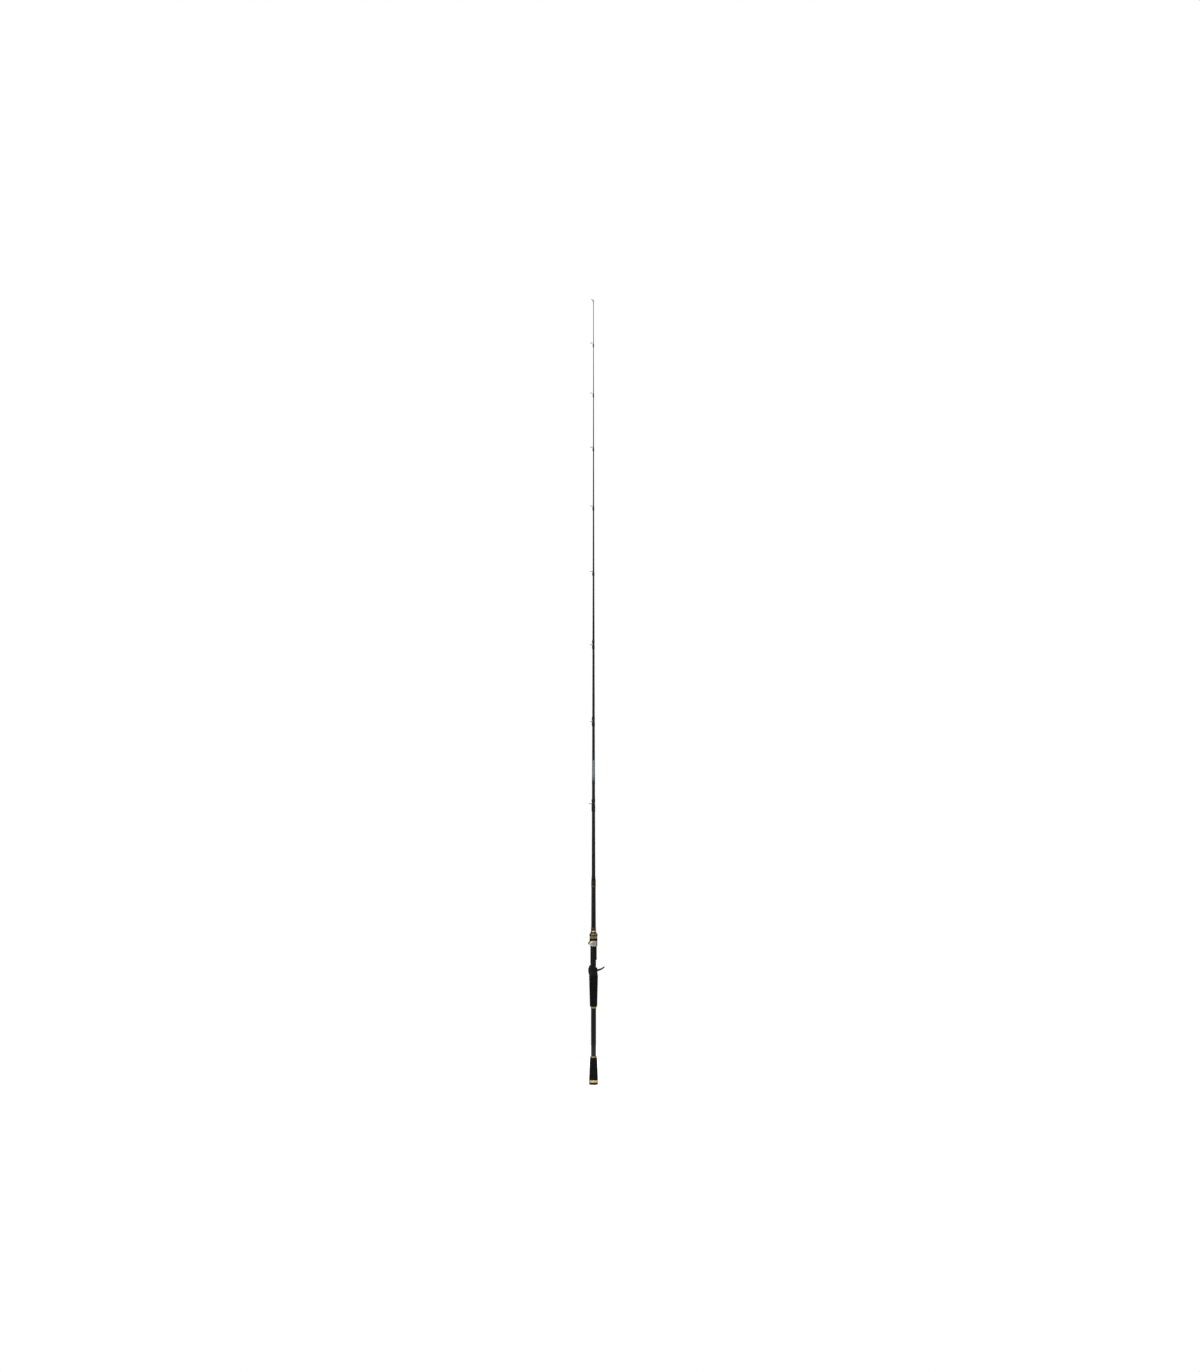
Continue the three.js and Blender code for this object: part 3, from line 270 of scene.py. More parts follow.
def make_finishes():
    coat = {"Coat Weight": 0.3, "Coat Roughness": 0.08, "Coat IOR": 1.5, "Specular IOR Level": 0.08}
    resin = {"IOR": 1.55, **coat}
    metal = {"Metallic": 1.0}

    # clear-coated carbon tube: near black, with the fibres just showing in the highlight
    surface("gloss_carbon", rolled_carbon, resin, dark="#040505", light="#0e0f0e", weave=0.1)
    # the same tube where it is left bare in the handle: the crossed tapes show more
    surface("cross_wound_carbon", rolled_carbon, resin, dark="#080908", light="#1d1e19", weave=0.25)
    # the plug of the ferrule, ground to fit and left uncoated: flat grey-black
    surface("ground_carbon", ground, {"IOR": 1.55}, dark="#161718", light="#2a2b2c")
    # EVA foam, turned and sanded: soft, dry, charcoal
    eva = {"Specular IOR Level": 0.06}
    surface("sanded_eva", closed_cells, eva, dark="#08080a", light="#171717", cell=0.55)
    # the butt cap's soft rubber: dark brown, faintly dusty
    rubber = {"Roughness": 0.62, "Specular IOR Level": 0.2}
    surface("soft_rubber", moulded, rubber, dark="#1d130d", light="#32241a", texture=0.35, depth=0.03)
    # glass-filled nylon of the seat: black with a satin skin
    filled = {"Roughness": 0.4, "Specular IOR Level": 0.15}
    surface("filled_nylon", moulded, filled, dark="#060607", light="#101011", texture=0.3, depth=0.012)
    # unfilled nylon of the hood liners: greyer and drier
    nylon = {"Roughness": 0.55, "IOR": 1.53}
    surface("liner_nylon", moulded, nylon, dark="#262626", light="#333333", texture=0.4, depth=0.02)
    # rigid urethane foam under the seat: pale grey, open
    surface("urethane_foam", closed_cells, {}, dark="#4a4a48", light="#6a6a66", cell=0.8)
    # bright gold anodised aluminium of the trim rings: warm, crossed by thin bright lines
    surface("gold_anodised", anodised, metal, dark="#a8925f", light="#d8c391", gloss=(0.34, 0.5))
    # darker, olive gold of the winding checks and the nut's knurled band: the same, duller
    surface("dark_gold_anodised", anodised, metal, dark="#665c3e", light="#9a8d62", gloss=(0.36, 0.52))
    # brown anodised aluminium of the nut's collar: nearly black out of the light
    surface("brown_anodised", anodised, metal, dark="#24170d", light="#3d2818", gloss=(0.25, 0.4))
    # the lands of the nut's fluted ring, coloured a lighter brassy gold than the brown flutes: a painted
    # highlight on the lands
    surface("cut_gold", anodised, metal, dark="#6e6140", light="#a39367", gloss=(0.25, 0.4))
    # satin nickel on the moving hood: warm grey, soft reflections
    surface("satin_nickel", polished, metal, dark="#a8a397", light="#bbb6aa", gloss=(0.38, 0.52))
    # stamped and polished stainless steel of the guide frames: bright, cold and a little soft
    surface("stainless_steel", polished, metal, dark="#a6a8aa", light="#cbcccd", gloss=(0.28, 0.42))
    # dense oxide ceramic of the line rings: dark, glassy
    ceramic = {"IOR": 1.77, "Coat Weight": 0.4, "Coat Roughness": 0.03}
    surface("oxide_ceramic", polished, ceramic, dark="#25282b", light="#3a3e42", gloss=(0.08, 0.18))
    # black nylon winding thread soaked in epoxy: a wet line along each turn
    surface("nylon_thread", twisted, {"Roughness": 0.4, **coat}, dark="#0b0b0c", light="#202022")
    # metallised trim thread of copper-gold foil: a warm glint
    foil = {"Roughness": 0.3, **metal, **coat}
    surface("copper_thread", twisted, foil, dark="#8a5a2c", light="#c99658")
    # the resin over the thread: glassy, with slow ripples
    surface("clear_epoxy", poured, {"Roughness": 0.12, **resin}, dark="#0b0b0c", light="#161618")
    # grey decoration band of the tip section: a flat print with a trace of flake
    surface("printed_band", printed, coat, bare="#1a1b1c", ink="#5c6466", pale="#8a9294", fade=LABEL_FADE)
    # the room's floor: dull white, so that no light comes back off it in a spot
    dull = {"Roughness": 0.9, "Specular IOR Level": 0.1}
    surface("matt_white_paint", paint, dull, dark="#f2f2f2", light="#fafafa")


# ------------------------------------------------------------------ camera and studio
LENS = 85  # mm
SENSOR = 36  # mm, on its long side, which is upright
VIEW_SHAPE = 1200 / 1372  # width to height
ROD_SHARE = 0.5724  # of the view's height that the rod takes
BUTT_SHARE = 0.2096  # of the view's height that is below the butt
SIDE_SHARE = 0.0054  # of the view's width that the rod stands to the left of the middle
ROOM_LIGHT = 0.16  # what the white room gives the rod, against what the camera sees
SOFTBOXES = (  # name, place in metres, width, height, watts
    ("key_box", (-2.2, -3.0, 1.5), 1.1, 2.6, 55),
    ("fill_box", (3.0, -2.2, 1.2), 0.9, 2.4, 16),
    ("rim_box", (1.6, 2.6, 1.6), 0.6, 2.4, 20),
    ("front_box", (0.4, -4.5, 2.9), 1.6, 1.2, 22),
)
CEILING_LIGHT = 3.7
CEILING_SPREAD = math.radians(70)
FLOOR_RADIUS = 0.95  # metres
FLOOR_SIDES = 64


def add_camera():
    low, high = CAD_BOX
    view_height = (high.z - low.z) / ROD_SHARE
    lens = bpy.data.cameras.new("camera")
    lens.lens = LENS
    lens.sensor_width = SENSOR
    camera = placed("camera", lens)
    camera.location = (
        SIDE_SHARE * view_height * VIEW_SHAPE,
        -view_height * LENS / SENSOR,
        low.z + view_height * (0.5 - BUTT_SHARE),
    )
    camera.rotation_euler = (math.pi / 2, 0, 0)
    bpy.context.scene.camera = camera


def add_room():
    """A white room: a weak even light on the rod, and a brighter white behind it for the camera alone."""
    scene = bpy.context.scene
    scene.view_settings.view_transform = "Standard"
    world = bpy.data.worlds.new("white_room")
    scene.world = world
    world.use_nodes = True
    tree = world.node_tree
    tree.nodes.clear()
    backdrop = add(tree, "ShaderNodeBackground", {"Color": colour("#ffffff"), "Strength": 1.0})
    ambient = add(tree, "ShaderNodeBackground", {"Color": colour("#f4f6f8"), "Strength": ROOM_LIGHT})
    path = add(tree, "ShaderNodeLightPath")
    seen = add(tree, "ShaderNodeMixShader", {0: path.outputs["Is Camera Ray"], 1: ambient, 2: backdrop})
    add(tree, "ShaderNodeOutputWorld", {"Surface": seen})


def add_lights():
    low, high = CAD_BOX
    middle = Vector((0, 0, (low.z + high.z) / 2))
    for name, place, width, height, watts in SOFTBOXES:
        light = bpy.data.lights.new(name, "AREA")
        light.shape = "RECTANGLE"
        light.size = width
        light.size_y = height
        light.energy = watts
        box = placed(name, light)
        box.location = place
        box.rotation_euler = (middle - box.location).to_track_quat("-Z", "Y").to_euler()
    ceiling = bpy.data.lights.new("ceiling", "SUN")
    ceiling.energy = CEILING_LIGHT
    ceiling.angle = CEILING_SPREAD
    placed("ceiling", ceiling)


def add_floor():
    level = CAD_BOX[0].z
    angles = [TURN * k / FLOOR_SIDES for k in range(FLOOR_SIDES)]
    rim = [(FLOOR_RADIUS * math.cos(angle), FLOOR_RADIUS * math.sin(angle), level) for angle in angles]
    mesh = bpy.data.meshes.new("floor")
    mesh.from_pydata(rim, [], [range(FLOOR_SIDES)])
    mesh.materials.append(FINISHES["matt_white_paint"])
    placed("floor", mesh)


# ------------------------------------------------------------------ reading the frame
HAIR = 0.001  # mm, less than this is nothing
SAME = 0.01  # mm, places nearer than this are one


def outline_of(node):
    """The outline of a turned CAD node as (radius, height) points in millimetres, walked in its +X half
    plane. It is open if it starts and ends on the axis."""
    mesh = frame["nodes"][node].data
    corners = np.array([vertex.co for vertex in mesh.vertices]) / MM
    spots, which = np.unique(corners.round(3), axis=0, return_inverse=True)
    which = which.reshape(-1)
    in_plane = (abs(spots[:, 1]) < HAIR) & (spots[:, 0] > -HAIR)
    beside = {int(i): set() for i in np.flatnonzero(in_plane)}
    for face in mesh.polygons:
        ring = [int(which[i]) for i in face.vertices]
        for a, b in zip(ring, ring[1:] + ring[:1]):
            if a != b and a in beside and b in beside:
                beside[a].add(b)
                beside[b].add(a)
    ends = [i for i, near in beside.items() if len(near) == 1]
    walk = [ends[0] if ends else next(iter(beside))]
    while True:
        onward = [i for i in beside[walk[-1]] if i not in walk]
        if not onward:
            break
        walk.append(onward[0])
    return [(float(spots[i, 0]), float(spots[i, 2])) for i in walk]


def outer_radius(node):
    """A function that gives a turned CAD node's outer radius at a height."""
    outline = outline_of(node)
    edges = list(zip(outline, outline[1:] + outline[:1]))

    def radius(height):
        height = np.asarray(height, float)
        best = np.zeros_like(height)
        for (r0, z0), (r1, z1) in edges:
            if abs(z1 - z0) > HAIR:
                share = (height - z0) / (z1 - z0)
                inside = (share >= 0) & (share <= 1)
                best = np.where(inside, np.maximum(best, r0 + (r1 - r0) * share), best)
        return best

    return radius


def bore_of(node):
    """The least radius of a CAD node's corners."""
    return min(math.hypot(v.co.x, v.co.y) / MM for v in frame["nodes"][node].data.vertices)


def span(node):
    """The lowest and highest corner of a CAD node in millimetres."""
    low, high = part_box(node)
    return low / MM, high / MM


# ------------------------------------------------------------------ making pieces
ON_AXIS = 0.0005  # mm
STRAIGHT = -0.995  # the cosine between the two sides of a corner that is no corner


def mesh_from(name, points, faces, finishes, smooth=True):
    """A mesh from millimetre points, faces outward, with these finishes in its slots."""
    mesh = bpy.data.meshes.new(name)
    mesh.from_pydata((np.asarray(points) * MM).tolist(), [], [list(f) for f in faces])
    for finish in finishes:
        mesh.materials.append(FINISHES[finish])
    if smooth:
        mesh.shade_smooth()
    mesh.update()
    return mesh


def trim(mesh, name, node):
    """Places a finished mesh on a CAD node's body, without standing for the node."""
    piece = placed(name, mesh)
    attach(piece, BODY_OF[node])
    return piece


def stand_in(mesh, name, node):
    """Places a finished mesh as the piece that is shown for a CAD node."""
    piece = trim(mesh, name, node)
    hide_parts(node)
    return piece


def volume_of(points, faces):
    """The signed volume inside a closed mesh, which is negative if its faces point in."""
    points = np.asarray(points, float)
    total = 0.0
    for corners in {len(face) for face in faces}:
        rings = points[np.array([list(face) for face in faces if len(face) == corners])]
        for k in range(1, corners - 1):
            total += (rings[:, 0] * np.cross(rings[:, k], rings[:, k + 1])).sum()
    return total / 6


def facing_out(points, faces):
    """The faces of a closed mesh, turned round if they point in."""
    return [face[::-1] for face in faces] if volume_of(points, faces) < 0 else faces


def outward(mesh):
    """Turns a closed mesh's faces out if they point in."""
    points = np.array([v.co for v in mesh.vertices])
    if volume_of(points, [list(face.vertices) for face in mesh.polygons]) < 0:
        mesh.flip_normals()
    return mesh


def eased(outline, radius, closed=True, steps=4):
    """An outline with its corners rounded, and a narrow land on each side of them, so that the flats
    between stay flat in the light."""
    made = []
    count = len(outline)
    for i, corner in enumerate(outline):
        corner = np.array(corner)
        if not closed and i in (0, count - 1):
            made.append(corner)
            continue
        before = np.array(outline[i - 1]) - corner
        after = np.array(outline[(i + 1) % count]) - corner
        reach = min(radius, 0.36 * np.linalg.norm(before), 0.36 * np.linalg.norm(after))
        before /= np.linalg.norm(before)
        after /= np.linalg.norm(after)
        if before @ after < STRAIGHT:
            made.append(corner)
            continue
        land = reach * 1.25
        made.append(corner + before * land)
        for k in range(steps + 1):
            t = k / steps
            made.append(corner + before * reach * (1 - t) ** 2 + after * reach * t**2)
        made.append(corner + after * land)
    return made


def turned(name, outline, finishes, closed=True, sides=96, shape=None):
    """A body turned about the rod's axis. shape may change its radii: it takes and returns the radius
    at each height and angle."""
    outline = np.array(outline)
    angle = TURN * np.arange(sides) / sides
    radius = np.repeat(outline[:, :1], sides, axis=1)
    height = np.repeat(outline[:, 1:], sides, axis=1)
    if shape:
        radius = shape(radius, height, angle[None, :])
    points = np.stack([radius * np.cos(angle), radius * np.sin(angle), height], axis=2).reshape(-1, 3)
    rows = len(outline)
    faces = []
    for i in range(rows if closed else rows - 1):
        j = (i + 1) % rows
        for k in range(sides):
            m = (k + 1) % sides
            ring = [i * sides + k, i * sides + m, j * sides + m, j * sides + k]
            if radius[i, 0] < ON_AXIS:
                ring = [i * sides] + ring[2:]
            elif radius[j, 0] < ON_AXIS:
                ring = ring[:2] + [j * sides]
            faces.append(ring)
    faces = facing_out(points, faces)
    used = sorted({i for face in faces for i in face})
    place = {i: n for n, i in enumerate(used)}
    return mesh_from(name, points[used], [[place[i] for i in face] for face in faces], finishes)


def split_long(outline, count_of):
    """An outline with its long edges split, where count_of gives the pieces for an edge's ends."""
    made = []
    for i, (r0, z0) in enumerate(outline):
        r1, z1 = outline[(i + 1) % len(outline)]
        pieces = count_of(r0, z0, r1, z1)
        made += [(r0 + (r1 - r0) * k / pieces, z0 + (z1 - z0) * k / pieces) for k in range(pieces)]
    return made


def capsule(start, end, radius, sides=6, rings=2):
    """Points and faces of a short bar with round ends."""
    start, end = np.array(start, float), np.array(end, float)
    axis = (end - start) / np.linalg.norm(end - start)
    across = np.cross(axis, [0, 1, 0])
    across /= np.linalg.norm(across)
    other = np.cross(axis, across)
    stations = [(start, -math.pi / 2 * (1 - k / (rings + 1))) for k in range(1, rings + 2)]
    stations += [(end, math.pi / 2 * k / (rings + 1)) for k in range(rings + 1)]
    points = [start - axis * radius]
    for centre, lift in stations:
        for k in range(sides):
            turn = TURN * k / sides
            side = across * math.cos(turn) + other * math.sin(turn)
            points.append(centre + axis * radius * math.sin(lift) + side * radius * math.cos(lift))
    points.append(end + axis * radius)
    last = len(points) - 1
    faces = [[0, 1 + (k + 1) % sides, 1 + k] for k in range(sides)]
    for i in range(len(stations) - 1):
        for k in range(sides):
            a = 1 + i * sides + k
            b = 1 + i * sides + (k + 1) % sides
            faces.append([a, b, b + sides, a + sides])
    base = 1 + (len(stations) - 1) * sides
    faces += [[last, base + k, base + (k + 1) % sides] for k in range(sides)]
    points = np.array(points)
    return points, facing_out(points, faces)


def through(stations, values, at):
    """A smooth curve through values at stations."""
    stations = np.array(stations, float)
    values = np.array(values, float)
    slopes = np.gradient(values, stations)
    at = np.clip(at, stations[0], stations[-1])
    i = np.clip(np.searchsorted(stations, at, side="right") - 1, 0, len(stations) - 2)
    step = stations[i + 1] - stations[i]
    t = (at - stations[i]) / step
    rise = values[i] * (1 + 2 * t) * (1 - t) ** 2 + values[i + 1] * t**2 * (3 - 2 * t)
    return rise + step * (slopes[i] * t * (1 - t) ** 2 + slopes[i + 1] * t**2 * (t - 1))


def join_soft(a, b, fillet):
    """The union of two distance fields with a fillet of about that radius."""
    share = np.clip(0.5 + (b - a) / (2 * fillet), 0, 1)
    return b + (a - b) * share - fillet * share * (1 - share)


def cut_soft(body, tool, fillet):
    """A body less a tool, with the cut edges eased."""
    return -join_soft(-body, tool, fillet)


def overlap_soft(a, b, fillet):
    """What two distance fields share, with its edges eased."""
    return -join_soft(-a, -b, fillet)


def slab(value, low, high):
    """The distance outside a stretch along one axis."""
    return np.maximum(low - value, value - high)


def section(x, y, near, far, half_width, squareness):
    """A rounded cross section: its height towards -X is near, towards +X far. Its corners fill out as
    squareness goes over 2."""
    height = np.where(x < 0, near, far)
    power = np.where(x < 0, squareness, 2.0)
    q = ((abs(x) / height) ** power + (abs(y) / half_width) ** power) ** (1 / power)
    return (q - 1) * np.minimum(height, half_width)


def stick(x, y, z, start, end, thick, thin):
    """A round bar between two points, which tapers from thick to thin."""
    axis = np.array(end, float) - np.array(start, float)
    along = (x - start[0]) * axis[0] + (y - start[1]) * axis[1] + (z - start[2]) * axis[2]
    t = np.clip(along / (axis @ axis), 0, 1)
    dx, dy, dz = (at - first - t * way for at, first, way in zip((x, y, z), start, axis))
    return np.sqrt(dx**2 + dy**2 + dz**2) - (thick + (thin - thick) * t)


def carved(name, field, low, high, step, finishes):
    """A moulded or cast body: the skin where a distance field is zero. The field takes x, y and z in
    millimetres, and the skin's corners are drawn onto it along its slope."""
    axes = [np.arange(a - 2 * step, b + 3 * step, step) for a, b in zip(low, high)]
    x, y, z = np.meshgrid(*axes, indexing="ij", sparse=True)
    grid = openvdb.FloatGrid()
    grid.copyFromArray(np.ascontiguousarray(field(x, y, z), dtype=np.float32))
    corners, triangles, quads = grid.convertToPolygons(isovalue=0.0, adaptivity=0.0)
    points = corners * step + np.array([axis[0] for axis in axes])
    nudge = step / 4
    flattest = 0.05  # the least squared slope that a move is divided by
    for _ in range(3):
        slope = []
        for axis in np.eye(3):
            ahead = field(*(points + axis * nudge).T)
            behind = field(*(points - axis * nudge).T)
            slope.append((ahead - behind) / (2 * nudge))
        slope = np.array(slope)
        move = field(*points.T) / np.maximum((slope**2).sum(0), flattest)
        points = points - (slope * np.clip(move, -step / 2, step / 2)).T
    return mesh_from(name, points, facing_out(points, quads.tolist() + triangles.tolist()), finishes)


# ------------------------------------------------------------------ node trees
def new_tree(name, inputs):
    """A geometry tree with a geometry input, these named inputs, and a geometry output."""
    tree = bpy.data.node_groups.new(name, "GeometryNodeTree")
    tree.interface.new_socket("Geometry", in_out="INPUT", socket_type="NodeSocketGeometry")
    for label, kind in inputs.items():
        tree.interface.new_socket(label, in_out="INPUT", socket_type=f"NodeSocket{kind}")
    tree.interface.new_socket("Geometry", in_out="OUTPUT", socket_type="NodeSocketGeometry")
    return tree, add(tree, "NodeGroupInput").outputs


def winding_tree():
    """Thread laid round a body in touching turns: a climbing line is cast in to the body's skin."""
    tree, given = new_tree(
        "thread_winding",
        {
            "Start": "Float",
            "End": "Float",
            "Pitch": "Float",
            "Thread Radius": "Float",
            "Reach": "Float",
            "Turn Steps": "Float",
            "Finish": "Material",
        },
    )
    math_node = "ShaderNodeMath"
    length = add(tree, math_node, {0: given["End"], 1: given["Start"]}, operation="SUBTRACT")
    turns = add(tree, math_node, {0: length, 1: given["Pitch"]}, operation="DIVIDE")
    count = add(tree, math_node, {0: turns, 1: given["Turn Steps"]}, operation="MULTIPLY")
    index = add(tree, "GeometryNodeInputIndex")
    share = add(tree, math_node, {0: index, 1: count}, operation="DIVIDE")
    turned_by = add(tree, math_node, {0: share, 1: turns}, operation="MULTIPLY")
    angle = add(tree, math_node, {0: turned_by, 1: TURN}, operation="MULTIPLY")
    height = add(tree, math_node, {0: share, 1: length, 2: given["Start"]}, operation="MULTIPLY_ADD")
    cosine = add(tree, math_node, {0: angle}, operation="COSINE")
    sine = add(tree, math_node, {0: angle}, operation="SINE")
    outward = add(tree, "ShaderNodeCombineXYZ", {"X": cosine, "Y": sine})
    away = add(tree, "ShaderNodeVectorMath", {0: outward, "Scale": given["Reach"]}, operation="SCALE")
    rise = add(tree, "ShaderNodeCombineXYZ", {"Z": height})
    source = add(tree, "ShaderNodeVectorMath", {0: away, 1: rise}, operation="ADD")
    inward = add(tree, "ShaderNodeVectorMath", {0: outward, "Scale": -1.0}, operation="SCALE")
    cast = add(
        tree,
        "GeometryNodeRaycast",
        {
            "Target Geometry": given["Geometry"],
            "Source Position": source,
            "Ray Direction": inward,
            "Ray Length": given["Reach"],
        },
    )
    line = add(tree, "GeometryNodeMeshLine", {"Count": count})
    laid = add(tree, "GeometryNodeSetPosition", {"Geometry": line, "Position": cast.outputs["Hit Position"]})
    path = add(tree, "GeometryNodeMeshToCurve", {"Mesh": laid})
    ring = add(tree, "GeometryNodeCurvePrimitiveCircle", {"Radius": given["Thread Radius"], "Resolution": 5})
    thread = add(tree, "GeometryNodeCurveToMesh", {"Curve": path, "Profile Curve": ring, "Fill Caps": True})
    smooth = add(tree, "GeometryNodeSetShadeSmooth", {"Geometry": thread})
    real = add(tree, "GeometryNodeRealizeInstances", {"Geometry": smooth})
    done = add(tree, "GeometryNodeSetMaterial", {"Geometry": real, "Material": given["Finish"]})
    add(tree, "NodeGroupOutput", {"Geometry": done})
    return tree


def round_row_tree():
    """Copies of a small body set round the rod in rows, each row turned by half a step if staggered."""
    tree, given = new_tree(
        "round_row",
        {
            "Around": "Float",
            "Rows": "Float",
            "Start": "Float",
            "Row Step": "Float",
            "Stagger": "Float",
            "Finish": "Material",
        },
    )
    math_node = "ShaderNodeMath"
    count = add(tree, math_node, {0: given["Around"], 1: given["Rows"]}, operation="MULTIPLY")
    index = add(tree, "GeometryNodeInputIndex")
    part = add(tree, math_node, {0: index, 1: given["Around"]}, operation="DIVIDE")
    row = add(tree, math_node, {0: part}, operation="FLOOR")
    odd = add(tree, math_node, {0: row, 1: 2.0}, operation="FLOORED_MODULO")
    slipped = add(tree, math_node, {0: odd, 1: given["Stagger"], 2: index}, operation="MULTIPLY_ADD")
    around = add(tree, math_node, {0: slipped, 1: given["Around"]}, operation="DIVIDE")
    angle = add(tree, math_node, {0: around, 1: TURN}, operation="MULTIPLY")
    climb = {0: row, 1: given["Row Step"], 2: given["Start"]}
    height = add(tree, math_node, climb, operation="MULTIPLY_ADD")
    place = add(tree, "ShaderNodeCombineXYZ", {"Z": height})
    turn = add(tree, "ShaderNodeCombineXYZ", {"Z": angle})
    line = add(tree, "GeometryNodeMeshLine", {"Count": count})
    spots = add(tree, "GeometryNodeSetPosition", {"Geometry": line, "Position": place})
    copies = add(
        tree,
        "GeometryNodeInstanceOnPoints",
        {"Points": spots, "Instance": given["Geometry"], "Rotation": turn},
    )
    real = add(tree, "GeometryNodeRealizeInstances", {"Geometry": copies})
    done = add(tree, "GeometryNodeSetMaterial", {"Geometry": real, "Material": given["Finish"]})
    add(tree, "NodeGroupOutput", {"Geometry": done})
    return tree


def tapered_tube_tree():
    """The tip section: a tube whose radius falls to the tip by a power law. A grid is wrapped into
    the skin: its rows run down the bore, over the rim of the spigot and up the outside."""
    tree, given = new_tree(
        "tapered_tube",
        {
            "Spigot End": "Float",
            "Shoulder": "Float",
            "Tip End": "Float",
            "Root Radius": "Float",
            "Tip Radius": "Float",
            "Power": "Float",
            "Bore Radius": "Float",
            "Bore End": "Float",
            "Finish": "Material",
            "Spigot Finish": "Material",
        },
    )
    math_node = "ShaderNodeMath"
    sides, rows = 64, 400
    bore_share = 0.1  # of the rows
    bore_full = bore_share - 0.0005  # the share at which the bore's own rows reach the plug's end
    before_rim = bore_share - 0.0001
    before_tip = 0.9999  # every row but the last, which closes the tip
    weld = 2e-6  # metres
    grid = add(
        tree,
        "GeometryNodeMeshGrid",
        {"Size X": 1.0, "Size Y": 1.0, "Vertices X": sides + 1, "Vertices Y": rows + 1},
    )
    spot = add(tree, "GeometryNodeInputPosition")
    xyz = add(tree, "ShaderNodeSeparateXYZ", {"Vector": spot})
    around = add(tree, math_node, {0: xyz.outputs["X"], 1: TURN}, operation="MULTIPLY")
    row = add(tree, math_node, {0: xyz.outputs["Y"], 1: 0.5}, operation="ADD")
    inner = add(tree, "ShaderNodeMapRange", {"Value": row, "From Max": bore_full})
    outer = add(tree, "ShaderNodeMapRange", {"Value": row, "From Min": bore_share})
    inside = add(tree, math_node, {0: row, 1: before_rim}, operation="LESS_THAN")
    bore_radius = add(tree, math_node, {0: inner, 1: given["Bore Radius"]}, operation="MULTIPLY")
    bore_height = add(
        tree,
        "ShaderNodeMapRange",
        {"Value": inner, "To Min": given["Bore End"], "To Max": given["Spigot End"]},
    )
    height = add(
        tree,
        "ShaderNodeMapRange",
        {"Value": outer, "To Min": given["Spigot End"], "To Max": given["Tip End"]},
    )
    left = add(
        tree,
        "ShaderNodeMapRange",
        {"Value": height, "From Min": given["Tip End"], "From Max": given["Shoulder"]},
    )
    curve = add(tree, math_node, {0: left, 1: given["Power"]}, operation="POWER")
    radius = add(
        tree,
        "ShaderNodeMapRange",
        {"Value": curve, "To Min": given["Tip Radius"], "To Max": given["Root Radius"]},
    )
    capped = add(tree, math_node, {0: row, 1: before_tip}, operation="LESS_THAN")
    shut = add(tree, math_node, {0: radius, 1: capped}, operation="MULTIPLY")
    r = add(tree, "ShaderNodeMix", {"Factor": inside, "A": shut, "B": bore_radius})
    z = add(tree, "ShaderNodeMix", {"Factor": inside, "A": height, "B": bore_height})
    cosine = add(tree, math_node, {0: around}, operation="COSINE")
    sine = add(tree, math_node, {0: around}, operation="SINE")
    x = add(tree, math_node, {0: r, 1: cosine}, operation="MULTIPLY")
    y = add(tree, math_node, {0: r, 1: sine}, operation="MULTIPLY")
    place = add(tree, "ShaderNodeCombineXYZ", {"X": x, "Y": y, "Z": z})
    wrapped = add(tree, "GeometryNodeSetPosition", {"Geometry": grid, "Position": place})
    closed = add(tree, "GeometryNodeMergeByDistance", {"Geometry": wrapped, "Distance": weld})
    smooth = add(tree, "GeometryNodeSetShadeSmooth", {"Geometry": closed})
    real = add(tree, "GeometryNodeRealizeInstances", {"Geometry": smooth})
    coated = add(tree, "GeometryNodeSetMaterial", {"Geometry": real, "Material": given["Finish"]})
    at = add(tree, "ShaderNodeSeparateXYZ", {"Vector": add(tree, "GeometryNodeInputPosition")})
    bare = add(tree, math_node, {0: at.outputs["Z"], 1: given["Shoulder"]}, operation="LESS_THAN")
    done = add(
        tree,
        "GeometryNodeSetMaterial",
        {"Geometry": coated, "Selection": bare, "Material": given["Spigot Finish"]},
    )
    add(tree, "NodeGroupOutput", {"Geometry": done})
    return tree


def grown(name, start, tree, finish, **values):
    """The plain mesh that a node tree makes from a start mesh. An input's spaces are underscores here."""
    holder = placed(name, start)
    modifier = holder.modifiers.new("shape", "NODES")
    modifier.node_group = tree
    values["Finish"] = FINISHES[finish]
    for socket in tree.interface.items_tree:
        key = socket.name.replace(" ", "_")
        if socket.in_out == "INPUT" and key in values:
            modifier[socket.identifier] = values[key]
    graph = bpy.context.evaluated_depsgraph_get()
    mesh = bpy.data.meshes.new_from_object(holder.evaluated_get(graph), depsgraph=graph)
    mesh.name = name
    bpy.data.objects.remove(holder)
    return mesh


def merged(name, meshes):
    """One mesh of several, with their finishes."""
    finishes = []
    for mesh in meshes:
        finishes += [m for m in mesh.materials if m not in finishes]
    points, faces, slots = [], [], []
    for mesh in meshes:
        base = len(points)
        points += [tuple(v.co) for v in mesh.vertices]
        for face in mesh.polygons:
            faces.append([base + i for i in face.vertices])
            slots.append(finishes.index(mesh.materials[face.material_index]))
    whole = bpy.data.meshes.new(name)
    whole.from_pydata(points, [], faces)
    for finish in finishes:
        whole.materials.append(finish)
    whole.polygons.foreach_set("material_index", slots)
    whole.shade_smooth()
    whole.update()
    return whole


WINDING = winding_tree()
ROUND_ROW = round_row_tree()
TAPERED_TUBE = tapered_tube_tree()


# ------------------------------------------------------------------ blanks
TAPER_POWER = 1.35  # 1 is a straight taper, more is slimmer in the middle
CROSS_WOUND = (60, 330)  # along the rod, the stretch of bare tube in the handle
BUTT_RADIUS = outer_radius("butt_blank")
TIP_RADIUS = outer_radius("tip_blank")


